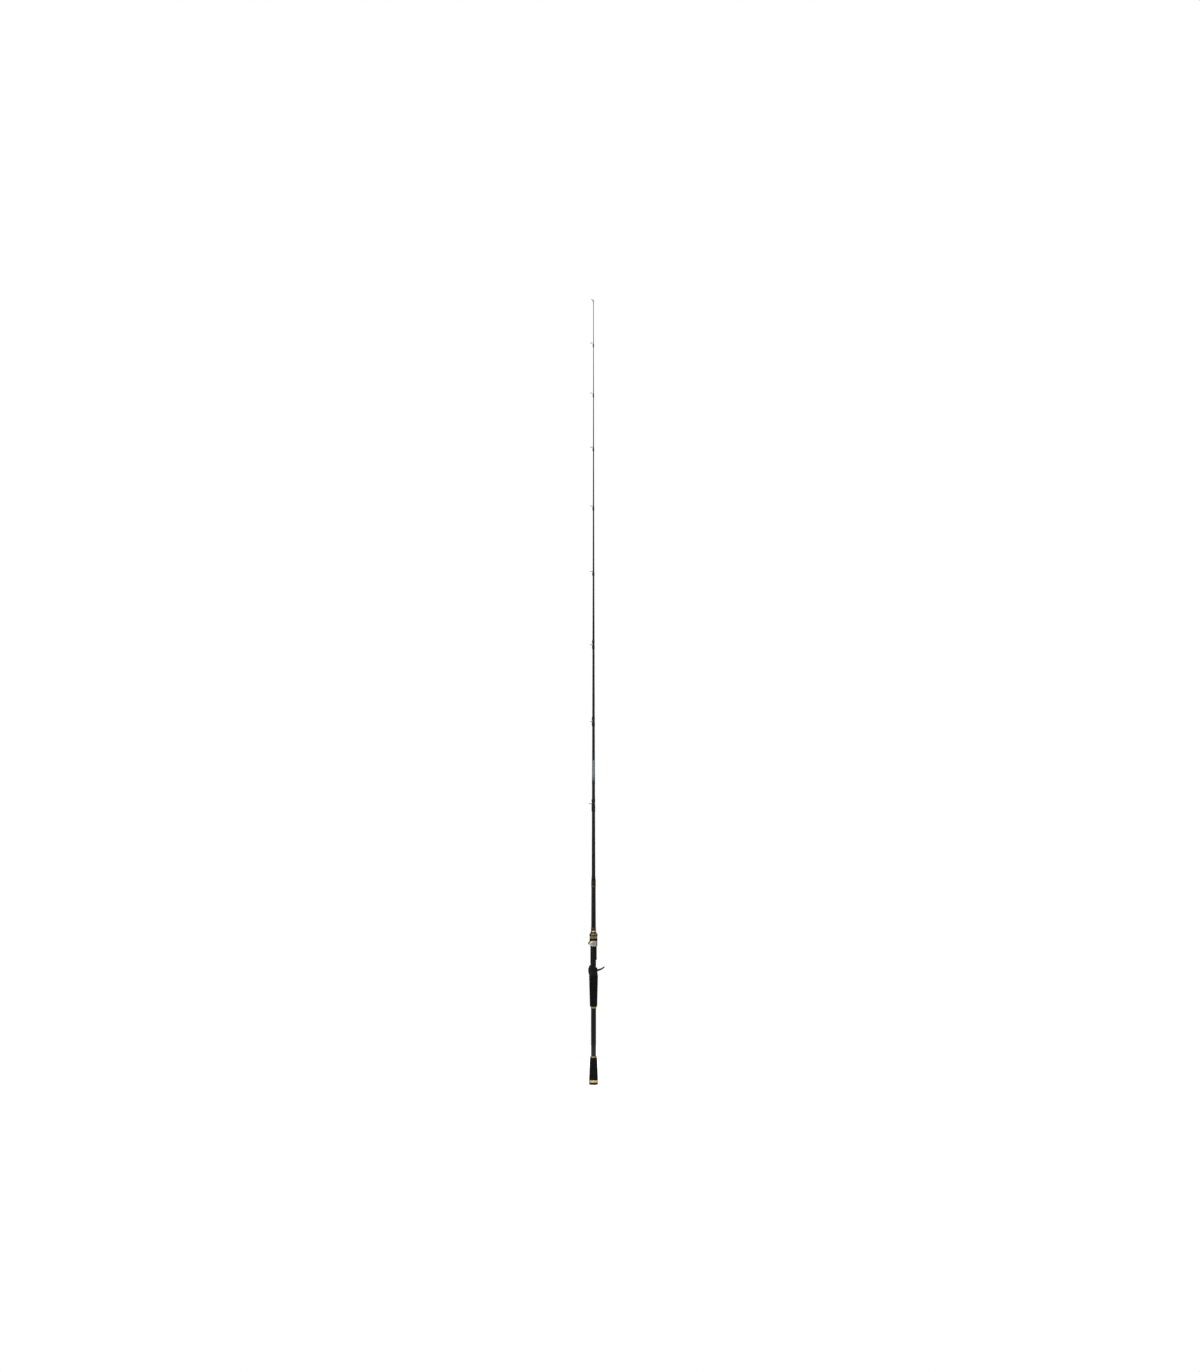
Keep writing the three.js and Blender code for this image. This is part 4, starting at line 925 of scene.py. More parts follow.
def add_butt_blank():
    """The carbon tube of the handle, gloss outside, with its cross-wound stretch between the grips."""
    outline = eased(outline_of("butt_blank"), 0.15)
    mesh = turned("butt_tube", outline, ["gloss_carbon", "cross_wound_carbon"])
    for face in mesh.polygons:
        if CROSS_WOUND[0] * MM < face.center.z < CROSS_WOUND[1] * MM:
            face.material_index = 1
    stand_in(mesh, "butt_tube", "butt_blank")


def add_tip_blank():
    """The tip section's carbon tube, with the bare plug that sits in the handle's socket."""
    low, high = span("tip_blank")
    shoulder = span("tip_stop_wrap")[0].z
    outline = outline_of("tip_blank")
    bore = min(r for r, z in outline if abs(z - low.z) < SAME)
    bore_end = [z for r, z in outline if r < SAME and z < high.z - 1][0]
    mesh = grown(
        "tip_tube",
        bpy.data.meshes.new("start"),
        TAPERED_TUBE,
        "gloss_carbon",
        Spigot_Finish=FINISHES["ground_carbon"],
        Spigot_End=low.z * MM,
        Shoulder=shoulder * MM,
        Tip_End=high.z * MM,
        Root_Radius=float(TIP_RADIUS(shoulder)) * MM,
        Tip_Radius=float(TIP_RADIUS(high.z - HAIR)) * MM,
        Power=TAPER_POWER,
        Bore_Radius=bore * MM,
        Bore_End=bore_end * MM,
    )
    stand_in(outward(mesh), "tip_tube", "tip_blank")


# ------------------------------------------------------------------ handle
CAP_FOOT = 8.5  # the edge of the flat that it stands on
CAP_DISH = 3.4
CAP_DISH_DEPTH = 0.7
CAP_DOME = 0.8  # of the height up to its trim ring
CAP_GAP = 0.3  # between its edge and the trim ring
CAP_RIBS = 48.0
CAP_RIB_WIDTH = 0.6
GRIP_WAVE = 0.04  # how far the sanding wanders
ONE_GROOVE = (0.5,)  # along a ring, from 0 to 1
TWO_GROOVES = (0.3, 0.7)
# Across a groove: the place in half widths, and the share of its depth there.
GROOVE_SHAPE = ((-1.3, 0), (-1, 0.05), (-0.5, 0.8), (0, 1), (0.5, 0.8), (1, 0.05), (1.3, 0))


def add_butt_cap():
    """A domed rubber cap: a dished foot, a rolled edge and fine ribs round its shoulder."""
    high = span("butt_cap")[1]
    rim = span("butt_cap_ring")[0].z - CAP_GAP
    radius = high.x
    plug = min(r for r, z in outline_of("butt_cap") if z > high.z - 1 and r > 1)
    outline = [(0, CAP_DISH_DEPTH), (CAP_DISH - 0.5, CAP_DISH_DEPTH - 0.1), (CAP_DISH, 0), (CAP_FOOT, 0)]
    steps = 12
    for k in range(1, steps + 1):
        angle = math.pi / 2 * k / steps
        dome = rim * CAP_DOME * (1 - math.cos(angle))
        outline.append((CAP_FOOT + (radius - CAP_FOOT) * math.sin(angle), dome))
    outline += [(radius, rim - 0.5), (radius - 0.4, rim), (plug, rim), (plug, high.z), (0, high.z)]
    body = turned("rubber_cap_body", eased(outline, 0.3, closed=False), ["soft_rubber"], closed=False)

    foot, head = (radius - 0.35, 0, rim * 0.45), (radius - 0.1, 0, rim - 0.8)
    rib = mesh_from("rib", *capsule(foot, head, CAP_RIB_WIDTH / 2), ["soft_rubber"])
    once = {"Rows": 1.0, "Start": 0.0, "Row_Step": 0.0, "Stagger": 0.0}
    row = grown("cap_ribs", rib, ROUND_ROW, "soft_rubber", Around=CAP_RIBS, **once)
    stand_in(merged("rubber_cap", [body, row]), "rubber_cap", "butt_cap")


def add_turned_ring(node, name, finish, ease, grooves=(), width=0.3, depth=0.1):
    """A turned ring that keeps its CAD node's outline, with eased edges and fine grooves. grooves are
    their places from 0 to 1 along the ring."""
    outline = eased(outline_of(node), ease)
    low, high = span(node)
    marks = [(low.z + (high.z - low.z) * at, width / 2, depth) for at in grooves]
    bore = min(r for r, z in outline)
    if marks:
        outline = cut_grooves(outline, marks, bore + 0.4)
    stand_in(turned(name, outline, [finish]), name, node)


def cut_grooves(outline, marks, above):
    """Adds V grooves with rounded floors to the outer face of an outline."""
    made = []
    count = len(outline)
    for i, (r0, z0) in enumerate(outline):
        made.append((r0, z0))
        r1, z1 = outline[(i + 1) % count]
        if abs(z1 - z0) < 0.5 or min(r0, r1) < above:
            continue
        way = 1 if z1 > z0 else -1
        inside = [m for m in marks if min(z0, z1) < m[0] - m[1] and m[0] + m[1] < max(z0, z1)]
        for at, half, depth in sorted(inside, reverse=way < 0):
            for shift, share in GROOVE_SHAPE:
                z = at + way * shift * half
                r = r0 + (r1 - r0) * (z - z0) / (z1 - z0)
                made.append((r - depth * share, z))
    return made


def add_grip(node, name):
    """A turned foam grip. Its ends are rolled over and its skin is very slightly uneven to the hand."""
    outline = eased(outline_of(node), 1.6, steps=6)
    bore = min(r for r, z in outline)

    def count_of(r0, z0, r1, z1):
        return max(1, int(abs(z1 - z0) / 2.5)) if min(r0, r1) > bore + 1 else 1

    def uneven(radius, height, angle):
        wave = np.sin(height / 9.0 + 2 * np.sin(angle)) * np.cos(2 * angle + height / 14.0)
        return np.where(radius > bore + 1, radius - GRIP_WAVE * (1 + wave), radius)

    mesh = turned(name, split_long(outline, count_of), ["sanded_eva"], sides=128, shape=uneven)
    stand_in(mesh, name, node)


# ------------------------------------------------------------------ reel seat
SEAT_LOW, SEAT_HIGH = span("seat_body")
SEAT_BORE = span("arbor_rear")[1].x + 0.1
SEAT_STEP = 0.42  # of the grid that it is carved on
HOOD_WALL = 1.2
HOOD_SQUARENESS = 2.7
SEAT_LIP = 18.6  # from the back of the seat
CHEEK_END = 33.6
CHEEK_GAP = (0.72, 0.86)  # of the pocket's half width, at the lip and at the cheeks' end
POCKET_START = 9.4
POCKET_FLOOR = 8.3
DECK = 8.6
DECK_END = 78.7
WINDOW = (20.5, 41.7)
WINDOW_EDGE = 2.0
KEYWAY_HALF = 1.5
KEYWAY_FLOOR = 8.15
KEYWAY_START = 48
THREAD_PITCH = 2.5
THREAD_DEPTH = 0.5
THREAD_START = 83
# The section along the seat: height to the reel side, to the trigger side, half width, squareness.
SEAT_STATIONS = (0, 5, 10.5, 15, 18.6, 24, 29, 33.6, 40, 46, 114)
SEAT_NEAR = (12, 13.5, 14.4, 14.5, 14.5, 12.8, 10.9, 9.5, 8.95, 8.95, 8.95)
SEAT_FAR = (12, 11.1, 10.5, 10.3, 10.2, 9.7, 9.2, 8.95, 8.95, 8.95, 8.95)
SEAT_HALF = (12, 11.6, 11.2, 11.0, 10.8, 10.2, 9.4, 8.95, 8.95, 8.95, 8.95)
SEAT_SQUARE = (2, 2.4, 2.8, 3.2, 3.8, 4.4, 3.6, 2.4, 2, 2, 2)
# The trigger's middle line, as distance from the axis and from the back of the seat.
TRIGGER_LINE = ((8.2, 13), (20.5, 15.0), (29.1, 22.0))
TRIGGER_THICK = (5.2, 2.8)
TRIGGER_WIDE = (12, 8.2)
TRIGGER_EDGE = 1.2


def trigger_field(x, y, s):
    """A finger hook: a curved bar, flat and wide, with every edge rounded for the finger."""
    steps = 24
    far_off = 1e3
    best = np.full(np.broadcast(x, s).shape, far_off)
    wide = np.zeros_like(best)
    a, b, c = (np.array(p, float) for p in TRIGGER_LINE)
    spine = [a * (1 - t) ** 2 + 2 * b * t * (1 - t) + c * t**2 for t in np.linspace(0, 1, steps + 1)]
    for k in range(steps):
        start, end = spine[k], spine[k + 1]
        axis = end - start
        t = np.clip(((x - start[0]) * axis[0] + (s - start[1]) * axis[1]) / (axis @ axis), 0, 1)
        share = (k + t) / steps
        half = (TRIGGER_THICK[0] + (TRIGGER_THICK[1] - TRIGGER_THICK[0]) * share) / 2
        away = np.hypot(x - start[0] - t * axis[0], s - start[1] - t * axis[1]) - half
        nearer = away < best
        best = np.where(nearer, away, best)
        wide = np.where(nearer, (TRIGGER_WIDE[0] + (TRIGGER_WIDE[1] - TRIGGER_WIDE[0]) * share) / 2, wide)
    flat = best + TRIGGER_EDGE
    side = abs(y) - wide + TRIGGER_EDGE
    outside = np.hypot(np.maximum(flat, 0), np.maximum(side, 0))
    return outside + np.minimum(np.maximum(flat, side), 0) - TRIGGER_EDGE


def screw_thread(x, y, height, start, end):
    """How far a rounded screw thread is cut in at a point, from 0 to 1. It runs in and out gently."""
    phase = TURN * height / THREAD_PITCH - np.arctan2(y, x)
    groove = np.clip(0.5 + 0.9 * np.cos(phase), 0, 1)
    return groove * np.clip((height - start) / 2, 0, 1) * np.clip(end - height, 0, 1)


def foot_pocket(x, y, s):
    """The hollow of the fixed hood that takes the reel's foot, and the gap between the two cheeks."""
    inner_half = SEAT_HALF[3] - HOOD_WALL - 0.2
    pocket = section(x, y, -SEAT_LOW.x - HOOD_WALL, 1.0, inner_half, HOOD_SQUARENESS)
    gap = abs(y) - inner_half * through((SEAT_LIP, CHEEK_END), CHEEK_GAP, s)
    pocket = join_soft(pocket, np.maximum(gap, SEAT_LIP - s), fillet=0.5)
    pocket = overlap_soft(pocket, x + POCKET_FLOOR, fillet=0.3)
    return overlap_soft(pocket, slab(s, POCKET_START, CHEEK_END), fillet=0.6)


def seat_field(x, y, z):
    """The moulded seat: round where the grip meets it, squared up into the fixed hood, down past two
    cheeks to a round barrel, with the trigger on the far side."""
    s = z - SEAT_LOW.z
    length = SEAT_HIGH.z - SEAT_LOW.z
    stations = (SEAT_NEAR, SEAT_FAR, SEAT_HALF, SEAT_SQUARE)
    near, far, half, square = (through(SEAT_STATIONS, values, s) for values in stations)
    body = section(x, y, near, far, half, square)
    body = body + THREAD_DEPTH * screw_thread(x, y, s, THREAD_START, length)
    body = join_soft(body, trigger_field(x, y, s), fillet=3.0)
    body = overlap_soft(body, slab(s, 0, length), fillet=0.5)
    body = cut_soft(body, foot_pocket(x, y, s), fillet=0.5)
    deck = overlap_soft(x + DECK + 0 * y, slab(s, CHEEK_END - 0.5, DECK_END), fillet=0.6)
    body = cut_soft(body, deck, fillet=0.3)
    window = slab(x, WINDOW_EDGE, SEAT_NEAR[0]) + 0 * y
    body = cut_soft(body, overlap_soft(window, slab(s, *WINDOW), fillet=2.0), fillet=0.5)
    keyway = overlap_soft(KEYWAY_FLOOR - x, KEYWAY_START - s, fillet=0.3)
    body = cut_soft(body, overlap_soft(abs(y) - KEYWAY_HALF, keyway, fillet=0.3), fillet=0.2)
    return cut_soft(body, np.hypot(x, y) - SEAT_BORE + 0 * s, fillet=0.2)


def add_seat():
    mesh = carved("trigger_seat", seat_field, SEAT_LOW, SEAT_HIGH, SEAT_STEP, ["filled_nylon"])
    stand_in(mesh, "trigger_seat", "seat_body")


# ------------------------------------------------------------------ moving hood
HOOD_LOW, HOOD_HIGH = span("moving_hood")
HOOD_BORE = span("nut_core")[1].x - 0.75
HOOD_STEP = 0.22  # of the grid that it is carved on
HOOD_SLEEVE = 10.6
HOOD_POCKET = 10.2
HOOD_STATIONS = (0, 2.2, 5.4, 7.5, 10.2, 12.6, 14.6)
HOOD_NEAR = (8.9, 11.8, 14.3, 15.0, 14.3, 12.4, 10.6)
HOOD_HALF = (10.4, 10.7, 10.9, 10.9, 10.9, 10.75, 10.6)
# Each of these has its stations along the hood, then its values there.
HOOD_SQUARE = ((0, 5.4, 10.2, 14.6), (2.2, 2.7, 2.6, 2.0))
HOOD_ROOF = ((0, 5, 7.5, HOOD_POCKET), (13.2, 13.2, 13.8, 13.1))
HOOD_GROOVES = (12.3, 13.4)
KEY_PLAY = 0.16  # of the key in the keyway


def hood_field(x, y, z):
    """The sliding hood: a sleeve on the barrel with a hump over the reel foot. Its mouth slopes, and
    two grooves are turned in its front edge. A key under it runs in the seat's keyway."""
    s = z - HOOD_LOW.z
    length = HOOD_HIGH.z - HOOD_LOW.z
    near, half = (through(HOOD_STATIONS, values, s) for values in (HOOD_NEAR, HOOD_HALF))
    square = through(*HOOD_SQUARE, s)
    body = section(x, y, near, HOOD_SLEEVE, half, square)
    for at in HOOD_GROOVES:
        body = body + 0.25 * np.exp(-(((s - at) / 0.22) ** 2))
    body = overlap_soft(body, slab(s, 0, length), fillet=0.5)
    roof = through(*HOOD_ROOF, s)
    pocket = section(x, y, roof, 1.0, HOOD_HALF[3] - HOOD_WALL - 0.1, HOOD_SQUARENESS)
    pocket = overlap_soft(pocket, x + 2.0, fillet=0.3)
    pocket = overlap_soft(pocket, slab(s, -2, HOOD_POCKET), fillet=0.4)
    body = cut_soft(body, pocket, fillet=0.25)
    body = cut_soft(body, np.hypot(x, y) - HOOD_BORE + 0 * s, fillet=0.2)
    key = slab(x, KEYWAY_FLOOR + KEY_PLAY, HOOD_SLEEVE - 0.8)
    key = np.maximum(key, abs(y) - KEYWAY_HALF + KEY_PLAY)
    return np.minimum(body, np.maximum(key, slab(s, 0.3, length - 0.3)))


def add_moving_hood():
    low = Vector((HOOD_LOW.x, -max(HOOD_HALF) - 0.1, HOOD_LOW.z))
    mesh = carved("nickel_hood", hood_field, low, HOOD_HIGH, HOOD_STEP, ["satin_nickel"])
    stand_in(mesh, "nickel_hood", "moving_hood")


# ------------------------------------------------------------------ lock nut
KNURLS_AROUND = 72.0
KNURL_ROWS = 6.0
KNURL_HEIGHT = 0.22
KNURL_MARGIN = 0.6  # left plain at each end
FLUTES = 20
FLUTE_DEPTH = 0.5


def add_nut():
    add_turned_ring("nut_core", "nut_sleeve", "filled_nylon", 0.15)
    add_turned_ring("nut_rear_collar", "brown_collar", "brown_anodised", 0.5, TWO_GROOVES, depth=0.12)
    add_turned_ring("nut_front_ring", "nut_end_ring", "satin_nickel", 0.3)
    add_knurled_band()
    add_fluted_ring()


def add_knurled_band():
    """The band that the fingers grip, cut all over in small diamonds."""
    low, high = span("nut_gold_band")
    base = high.x - KNURL_HEIGHT
    width = TURN * base / KNURLS_AROUND
    step = (high.z - low.z - 2 * KNURL_MARGIN) / KNURL_ROWS
    outline = [(r if r < base else base, z) for r, z in outline_of("nut_gold_band")]
    band = turned("band", eased(outline, 0.2), ["dark_gold_anodised"])
    root = base - 0.05
    points = [(root, -width / 2, 0), (root, 0, -step), (root, width / 2, 0), (root, 0, step)]
    points.append((high.x, 0, 0))
    faces = facing_out(points, [[0, 1, 2, 3], [0, 4, 1], [1, 4, 2], [2, 4, 3], [3, 4, 0]])
    stud = mesh_from("stud", points, faces, ["dark_gold_anodised"], smooth=False)
    knurl = grown(
        "knurl",
        stud,
        ROUND_ROW,
        "dark_gold_anodised",
        Around=KNURLS_AROUND,
        Rows=KNURL_ROWS,
        Start=(low.z + KNURL_MARGIN + step / 2) * MM,
        Row_Step=step * MM,
        Stagger=0.5,
    )
    mesh = merged("knurled_band", [band, knurl])
    mesh.set_sharp_from_angle(angle=math.radians(25))
    stand_in(mesh, "knurled_band", "nut_gold_band")


def add_fluted_ring():
    """The brown ring with flutes along it. The lands between them are coloured a lighter gold, a painted
    highlight; the flutes keep the ring's own brown.
    """
    bore = bore_of("nut_grip_ring")
    low, high = span("nut_grip_ring")
    outer = high.x
    outline = [(bore, low.z), (outer, low.z), (outer, high.z), (bore, high.z)]

    def fluted(radius, height, angle):
        wave = np.clip(0.55 + 0.9 * np.cos(FLUTES * angle), 0, 1)
        ends = np.clip(np.minimum(height - low.z - 0.5, high.z - 0.5 - height) / 0.4, 0, 1)
        return np.where(radius > bore + 0.5, radius - FLUTE_DEPTH * wave * ends, radius)

    def count_of(r0, z0, r1, z1):
        return 10 if abs(z1 - z0) > 2 and r0 > bore + 0.5 else 1

    outline = split_long(eased(outline, 0.3), count_of)
    ring = turned("fluted_ring", outline, ["brown_anodised", "cut_gold"], sides=FLUTES * 16, shape=fluted)
    # the outermost faces, the lands, take the lighter gold as a painted highlight; the flutes keep the
    # ring's own brown
    for face in ring.polygons:
        if math.hypot(face.center.x, face.center.y) > (outer - 0.12) * MM:
            face.material_index = 1
    stand_in(ring, "fluted_ring", "nut_grip_ring")


# ------------------------------------------------------------------ thread wraps
THREAD_STEP = 0.36  # drawn coarse: real winding thread is about 0.18 mm
THREAD_RADIUS = 0.15
THREAD_REACH = 20  # from the axis, beyond every foot
TURN_STEPS = 28.0  # corners in each turn
RESIN = 0.35  # over the blank
RESIN_EDGE = 0.03
FEATHER = 0.9  # the run-out of the resin past the thread


def hull(radius, angle, top, half):
    """The radius of a band pulled tight round a circle and over a flat foot on its -X side, whose top
    is that far from the axis."""
    off = abs(np.remainder(angle, TURN) - math.pi)
    corner = np.hypot(top, half)
    lean = np.arctan2(half, top) + np.arccos(np.clip(radius / np.maximum(corner, radius), -1, 1))
    flat = top / np.maximum(np.cos(np.minimum(off, 1.5)), 0.05)
    slope = radius / np.maximum(np.cos(np.minimum(off - lean, 0)), 0.05)
    return np.maximum(radius, np.minimum(flat, slope))


def add_wrap(node, name, blank_radius, foot_top=None, trims=()):
    """A resin body over the blank, and over the guide's foot where there is one, and the thread wound
    on it. foot_top gives the foot's top and half width at a height. Returns the thread's meshes."""
    low, high = span(node)
    start, end = low.z, high.z
    quarter = np.linspace(0, math.pi / 2, 7)
    heights = np.concatenate(
        [
            start + FEATHER * (1 - np.cos(quarter)),
            np.arange(start + FEATHER + 0.5, end - FEATHER, 0.5),
            end - FEATHER * (1 - np.sin(quarter)),
        ]
    )
    heights = np.unique(heights.round(4))
    blank = blank_radius(np.clip(heights, start, end))
    outline = [(r + 0.02, z) for r, z in zip(blank[::-1], heights[::-1])]
    outline += [(r + RESIN, z) for r, z in zip(blank, heights)]
    inner_rows = len(heights)

    def pulled(radius, height, angle):
        shaped = radius.copy()
        rows = height[inner_rows:, :1]
        edge = np.minimum(rows - start, end - rows)
        swell = np.clip(edge / FEATHER, 0, 1)
        rise = RESIN_EDGE + (RESIN - RESIN_EDGE) * np.sqrt(np.clip(1 - (1 - swell) ** 2, 0, 1))
        round_radius = blank_radius(rows) + rise
        shaped[inner_rows:] = round_radius + 0 * angle
        if foot_top:
            top, half = foot_top(rows)
            over = hull(round_radius, angle, top + rise, half + rise / 2)
            shaped[inner_rows:] = round_radius + (over - round_radius) * np.clip(edge / 0.4, 0, 1)
        return shaped

    mesh = turned(name, outline, ["clear_epoxy"], sides=64, shape=pulled)
    stand_in(mesh, name, node)
    threads = [wound(mesh, "nylon_thread", start + FEATHER, end - FEATHER, THREAD_RADIUS)]
    for finish, first, last in trims:
        threads.append(wound(mesh, finish, start + first, start + last, THREAD_RADIUS + 0.02))
    return threads


def wound(body, finish, start, end, radius):
    """Thread wound on a body from one height to another."""
    return grown(
        "thread",
        body,
        WINDING,
        finish,
        Start=start * MM,
        End=end * MM,
        Pitch=THREAD_STEP * MM,
        Thread_Radius=radius * MM,
        Reach=THREAD_REACH * MM,
        Turn_Steps=TURN_STEPS,
    )


# ------------------------------------------------------------------ guides
LEG = (0.45, 0.38)  # radius at its foot and at the hoop
LEG_STANCE = (0.55, 1.05)  # half the spread of the feet, and the turn round the hoop to the heads
BRACE_STANCE = (0.6, 0.95)
BRACE_REACH = 4.5  # from the legs to the braces of a guide with two feet
TIP_WIRE = (0.45, 0.4)
TUBE_WALL = 0.4
TUBE_GROOVES = (0.8, 1.5)
FOOT_HALF = 1.0
FOOT_THICK = (0.7, 0.25)
FOOT_TAPER = 3.0
FOOT_NARROWING = 0.35
HOOP_WALL = 0.7
HOOP_HALF = 0.45
RING_WALL = 0.6
RING_BITE = 0.03  # how far a ring is pressed into its hoop
GUIDE_STEP = 0.14  # of the grid that a frame is carved on
TIP_TOP_STEP = 0.12


def ring_of(node):
    """The centre, the axis towards the tip, the outer radius and the half width of a line ring."""
    points = np.array([v.co for v in frame["nodes"][node].data.vertices]) / MM
    points = np.unique(points.round(3), axis=0)
    centre = (points.max(0) + points.min(0)) / 2
    axis = np.linalg.svd(points - points.mean(0))[2][2]
    axis *= math.copysign(1, axis[2])
    along = (points - centre) @ axis
    away = np.linalg.norm(points - centre - np.outer(along, axis), axis=1)
    return centre, axis, away.max(), abs(along).max()


def hoop_field(x, y, z, centre, axis, ring_radius):
    """The hoop that a line ring is pressed in, and the hole through it."""
    dx, dy, dz = x - centre[0], y - centre[1], z - centre[2]
    along = dx * axis[0] + dy * axis[1] + dz * axis[2]
    away = np.sqrt(np.maximum(dx**2 + dy**2 + dz**2 - along**2, 1e-9))
    wall = abs(away - (ring_radius + HOOP_WALL / 2)) - HOOP_WALL / 2
    hoop = overlap_soft(wall, abs(along) - HOOP_HALF, fillet=0.2)
    return hoop, np.maximum(away - ring_radius + RING_BITE, abs(along) - 3)


def foot_field(x, y, z, surface, near, far):
    """A foot along the blank from near to far, thinned over its last stretch for the thread to climb."""
    way = 1 if far > near else -1
    along = (z - near) * way
    length = abs(far - near)
    taper = np.clip((along - (length - FOOT_TAPER)) / FOOT_TAPER, 0, 1)
    top = surface + FOOT_THICK[0] + (FOOT_THICK[1] - FOOT_THICK[0]) * taper
    half = FOOT_HALF * (1 - FOOT_NARROWING * taper)
    sides = np.maximum(abs(y) - half, slab(along, 0, length))
    return overlap_soft(sides, slab(-x, surface, top), fillet=0.2)


def add_guide(name):
    """A guide: a stamped and bent frame with its foot or feet, and the polished ring pressed in it."""
    centre, axis, ring_radius, ring_half = ring_of(f"{name}_ring")
    low, high = span(f"{name}_frame")
    surface = -high.x
    lean = math.atan2(-axis[0], axis[2])
    stand = (-centre[0] - surface) / math.cos(lean)
    station = centre[2] - stand * math.sin(lean)
    two_feet = high.z - centre[2] > 2 * ring_radius
    up = np.array([-math.cos(lean), 0, math.sin(lean)])
    side = np.array([0, 1.0, 0])
    middle = ring_radius + HOOP_WALL / 2
    brace_foot = station + BRACE_REACH
    legs = [(station, *LEG_STANCE)]
    if two_feet:
        legs.append((brace_foot, *BRACE_STANCE))

    def frame_field(x, y, z):
        body, hole = hoop_field(x, y, z, centre, axis, ring_radius)
        for way in (-1, 1):
            for at, spread, angle in legs:
                root = (-surface - FOOT_THICK[0] / 2, way * spread, at)
                turn = way * angle
                head = centre - up * middle * math.cos(turn) + side * middle * math.sin(turn)
                body = join_soft(body, stick(x, y, z, root, head, *LEG), fillet=0.5)
        body = join_soft(body, foot_field(x, y, z, surface, station + HOOP_HALF, low.z), fillet=0.4)
        if two_feet:
            body = join_soft(body, foot_field(x, y, z, surface, brace_foot - HOOP_HALF, high.z), fillet=0.4)
        return cut_soft(body, hole, fillet=0.1)

    mesh = carved(f"{name}_wire_frame", frame_field, low, high, GUIDE_STEP, ["stainless_steel"])
    stand_in(mesh, f"{name}_wire_frame", f"{name}_frame")
    add_line_ring(f"{name}_ring", f"{name}_ceramic", centre, axis, ring_radius, ring_half)

    def foot_top(height):
        """The top and half width of the foot at a height, falling away past its end."""
        reach = np.where(height < station, (height - low.z) / FOOT_TAPER, (high.z - height) / FOOT_TAPER)
        share = np.clip(reach, 0, 1)
        gone = np.clip(1 + reach * 3, 0, 1)
        top = surface + (FOOT_THICK[1] + (FOOT_THICK[0] - FOOT_THICK[1]) * share) * gone
        return top, FOOT_HALF * (1 - FOOT_NARROWING + FOOT_NARROWING * share) * gone

    threads = []
    for part in ("wrap", "rear_wrap", "front_wrap"):
        node = f"{name}_{part}"
        if node in frame["nodes"]:
            threads += add_wrap(node, f"{node}_resin", TIP_RADIUS, foot_top)
    return threads


def add_line_ring(node, name, centre, axis, radius, half):
    """A ceramic ring, rounded like a bead all through its mouth so that the line never meets an edge."""
    inner = radius - RING_WALL
    outline = []
    steps = 20
    for k in range(steps):
        x, y = math.cos(TURN * k / steps), math.sin(TURN * k / steps)
        swell = (radius - inner) / 2 * math.copysign(abs(x) ** 0.7, x)
        outline.append(((inner + radius) / 2 + swell, half * y))
    mesh = turned(name, outline, ["oxide_ceramic"])
    turn = Vector((0, 0, 1)).rotation_difference(Vector(axis)).to_matrix().to_4x4()
    mesh.transform(Matrix.Translation(Vector(centre) * MM) @ turn)
    stand_in(mesh, name, node)


def add_tip_top():
    """The tip top: a tube over the end of the blank, two side wires, and its ring leaning forward."""
    centre, axis, ring_radius, ring_half = ring_of("tip_top_ring")
    low, high = span("tip_top_frame")
    tube = high.x
    tube_end = centre[2] - ring_radius * 0.55
    middle = ring_radius + HOOP_WALL / 2

    def frame_field(x, y, z):
        hoop, hole = hoop_field(x, y, z, centre, axis, ring_radius)
        body = np.hypot(x, y) - tube + 0 * z
        for at in TUBE_GROOVES:
            body = body + 0.08 * np.exp(-(((z - low.z - at) / 0.15) ** 2))
        body = overlap_soft(body, slab(z, low.z, tube_end), fillet=0.4)
        body = join_soft(body, hoop, fillet=0.5)
        for way in (-1, 1):
            root = (-tube, way * tube / 3, low.z + 4.5)
            head = centre + np.array([0, way * middle, 0])
            body = join_soft(body, stick(x, y, z, root, head, *TIP_WIRE), fillet=0.35)
        body = cut_soft(body, hole, fillet=0.1)
        socket = np.maximum(np.hypot(x, y) - tube + TUBE_WALL, slab(z, low.z - 1, tube_end - 1))
        return cut_soft(body, socket, fillet=0.1)

    mesh = carved("tip_top_wire_frame", frame_field, low, high, TIP_TOP_STEP, ["stainless_steel"])
    stand_in(mesh, "tip_top_wire_frame", "tip_top_frame")
    add_line_ring("tip_top_ring", "tip_top_ceramic", centre, axis, ring_radius, ring_half)


def add_guides():
    """All the guides, from the largest by the handle to the tip. Returns their thread."""
    threads = []
    for name in ["stripper_guide"] + [f"guide_{number}" for number in range(2, 9)]:
        threads += add_guide(name)
    return threads


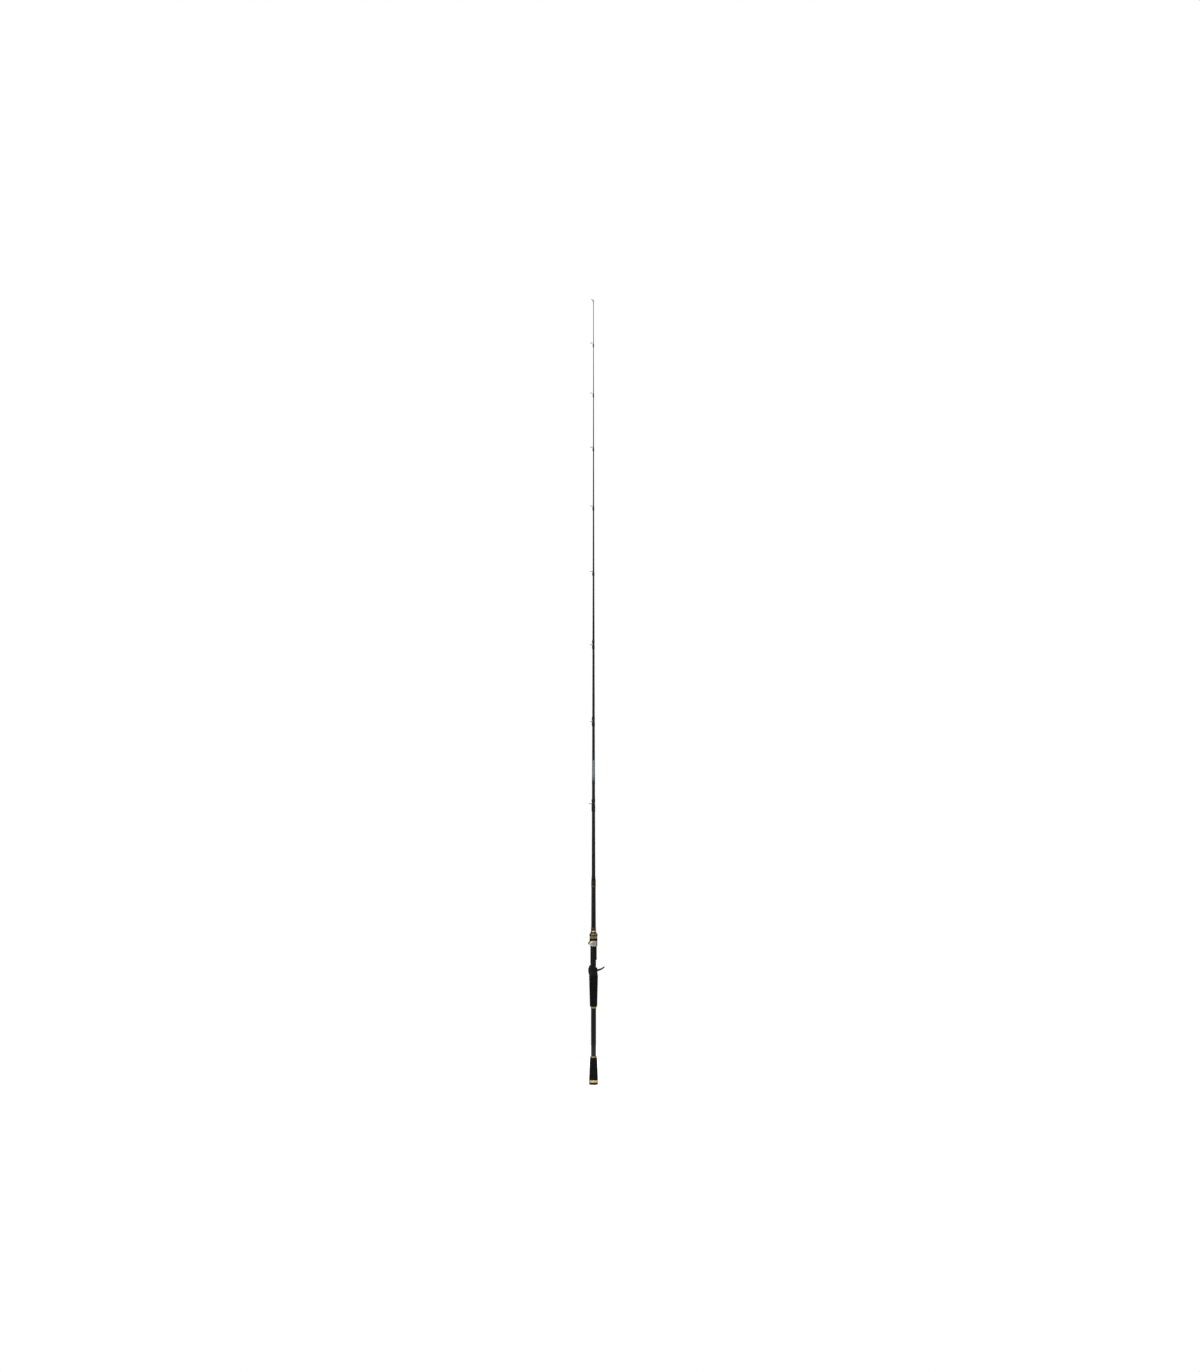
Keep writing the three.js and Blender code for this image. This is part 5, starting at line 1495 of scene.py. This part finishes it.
# ------------------------------------------------------------------ the rod
KEPT_MESHES = {  # plain inner parts, shown as their CAD node is, with their finish
    "fixed_hood_liner": "liner_nylon",
    "moving_hood_liner": "liner_nylon",
    "arbor_rear": "urethane_foam",
    "arbor_front": "urethane_foam",
}


def finish_kept_mesh(node, finish):
    kept = frame["nodes"][node].data
    kept.materials.clear()
    kept.materials.append(FINISHES[finish])


def add_butt_wraps():
    """The wraps of the handle, each with a copper trim, and all their thread as one piece."""
    threads = []
    for node, start, end in (("fore_wrap", 6.2, 7.3), ("ferrule_wrap", 1.2, 2.3)):
        threads += add_wrap(node, f"{node}_resin", BUTT_RADIUS, trims=(("copper_thread", start, end),))
    trim(merged("butt_windings", threads), "butt_windings", "fore_wrap")


def add_tip_wraps():
    """The stop wrap of the tip section, its guides, and all their thread as one piece."""
    threads = add_wrap("tip_stop_wrap", "tip_stop_resin", TIP_RADIUS)
    threads += add_guides()
    trim(merged("tip_windings", threads), "tip_windings", "tip_stop_wrap")


make_finishes()
add_camera()
add_room()
add_lights()
add_floor()

add_butt_blank()
add_tip_blank()
add_butt_cap()
add_turned_ring("butt_cap_ring", "gold_cap_ring", "gold_anodised", 0.3, TWO_GROOVES, 0.35, 0.15)
add_grip("butt_grip", "butt_eva_grip")
add_grip("rear_grip", "rear_eva_grip")
for grip in ("butt", "rear"):
    check = "dark_gold_anodised"
    add_turned_ring(f"{grip}_grip_check", f"{grip}_winding_check", check, 0.3, ONE_GROOVE, 0.35, 0.12)
add_seat()
add_moving_hood()
add_nut()
add_turned_ring("seat_end_cone", "seat_cone", "filled_nylon", 0.3)
add_turned_ring("fore_check_ring", "fore_check", "gold_anodised", 0.3, ONE_GROOVE)
add_turned_ring("ferrule_ring", "ferrule_band", "brown_anodised", 0.15, TWO_GROOVES, 0.25, 0.08)
add_turned_ring("label_band", "grey_band", "printed_band", 0.08)
add_butt_wraps()
add_tip_wraps()
add_tip_top()
for node, finish in KEPT_MESHES.items():
    finish_kept_mesh(node, finish)
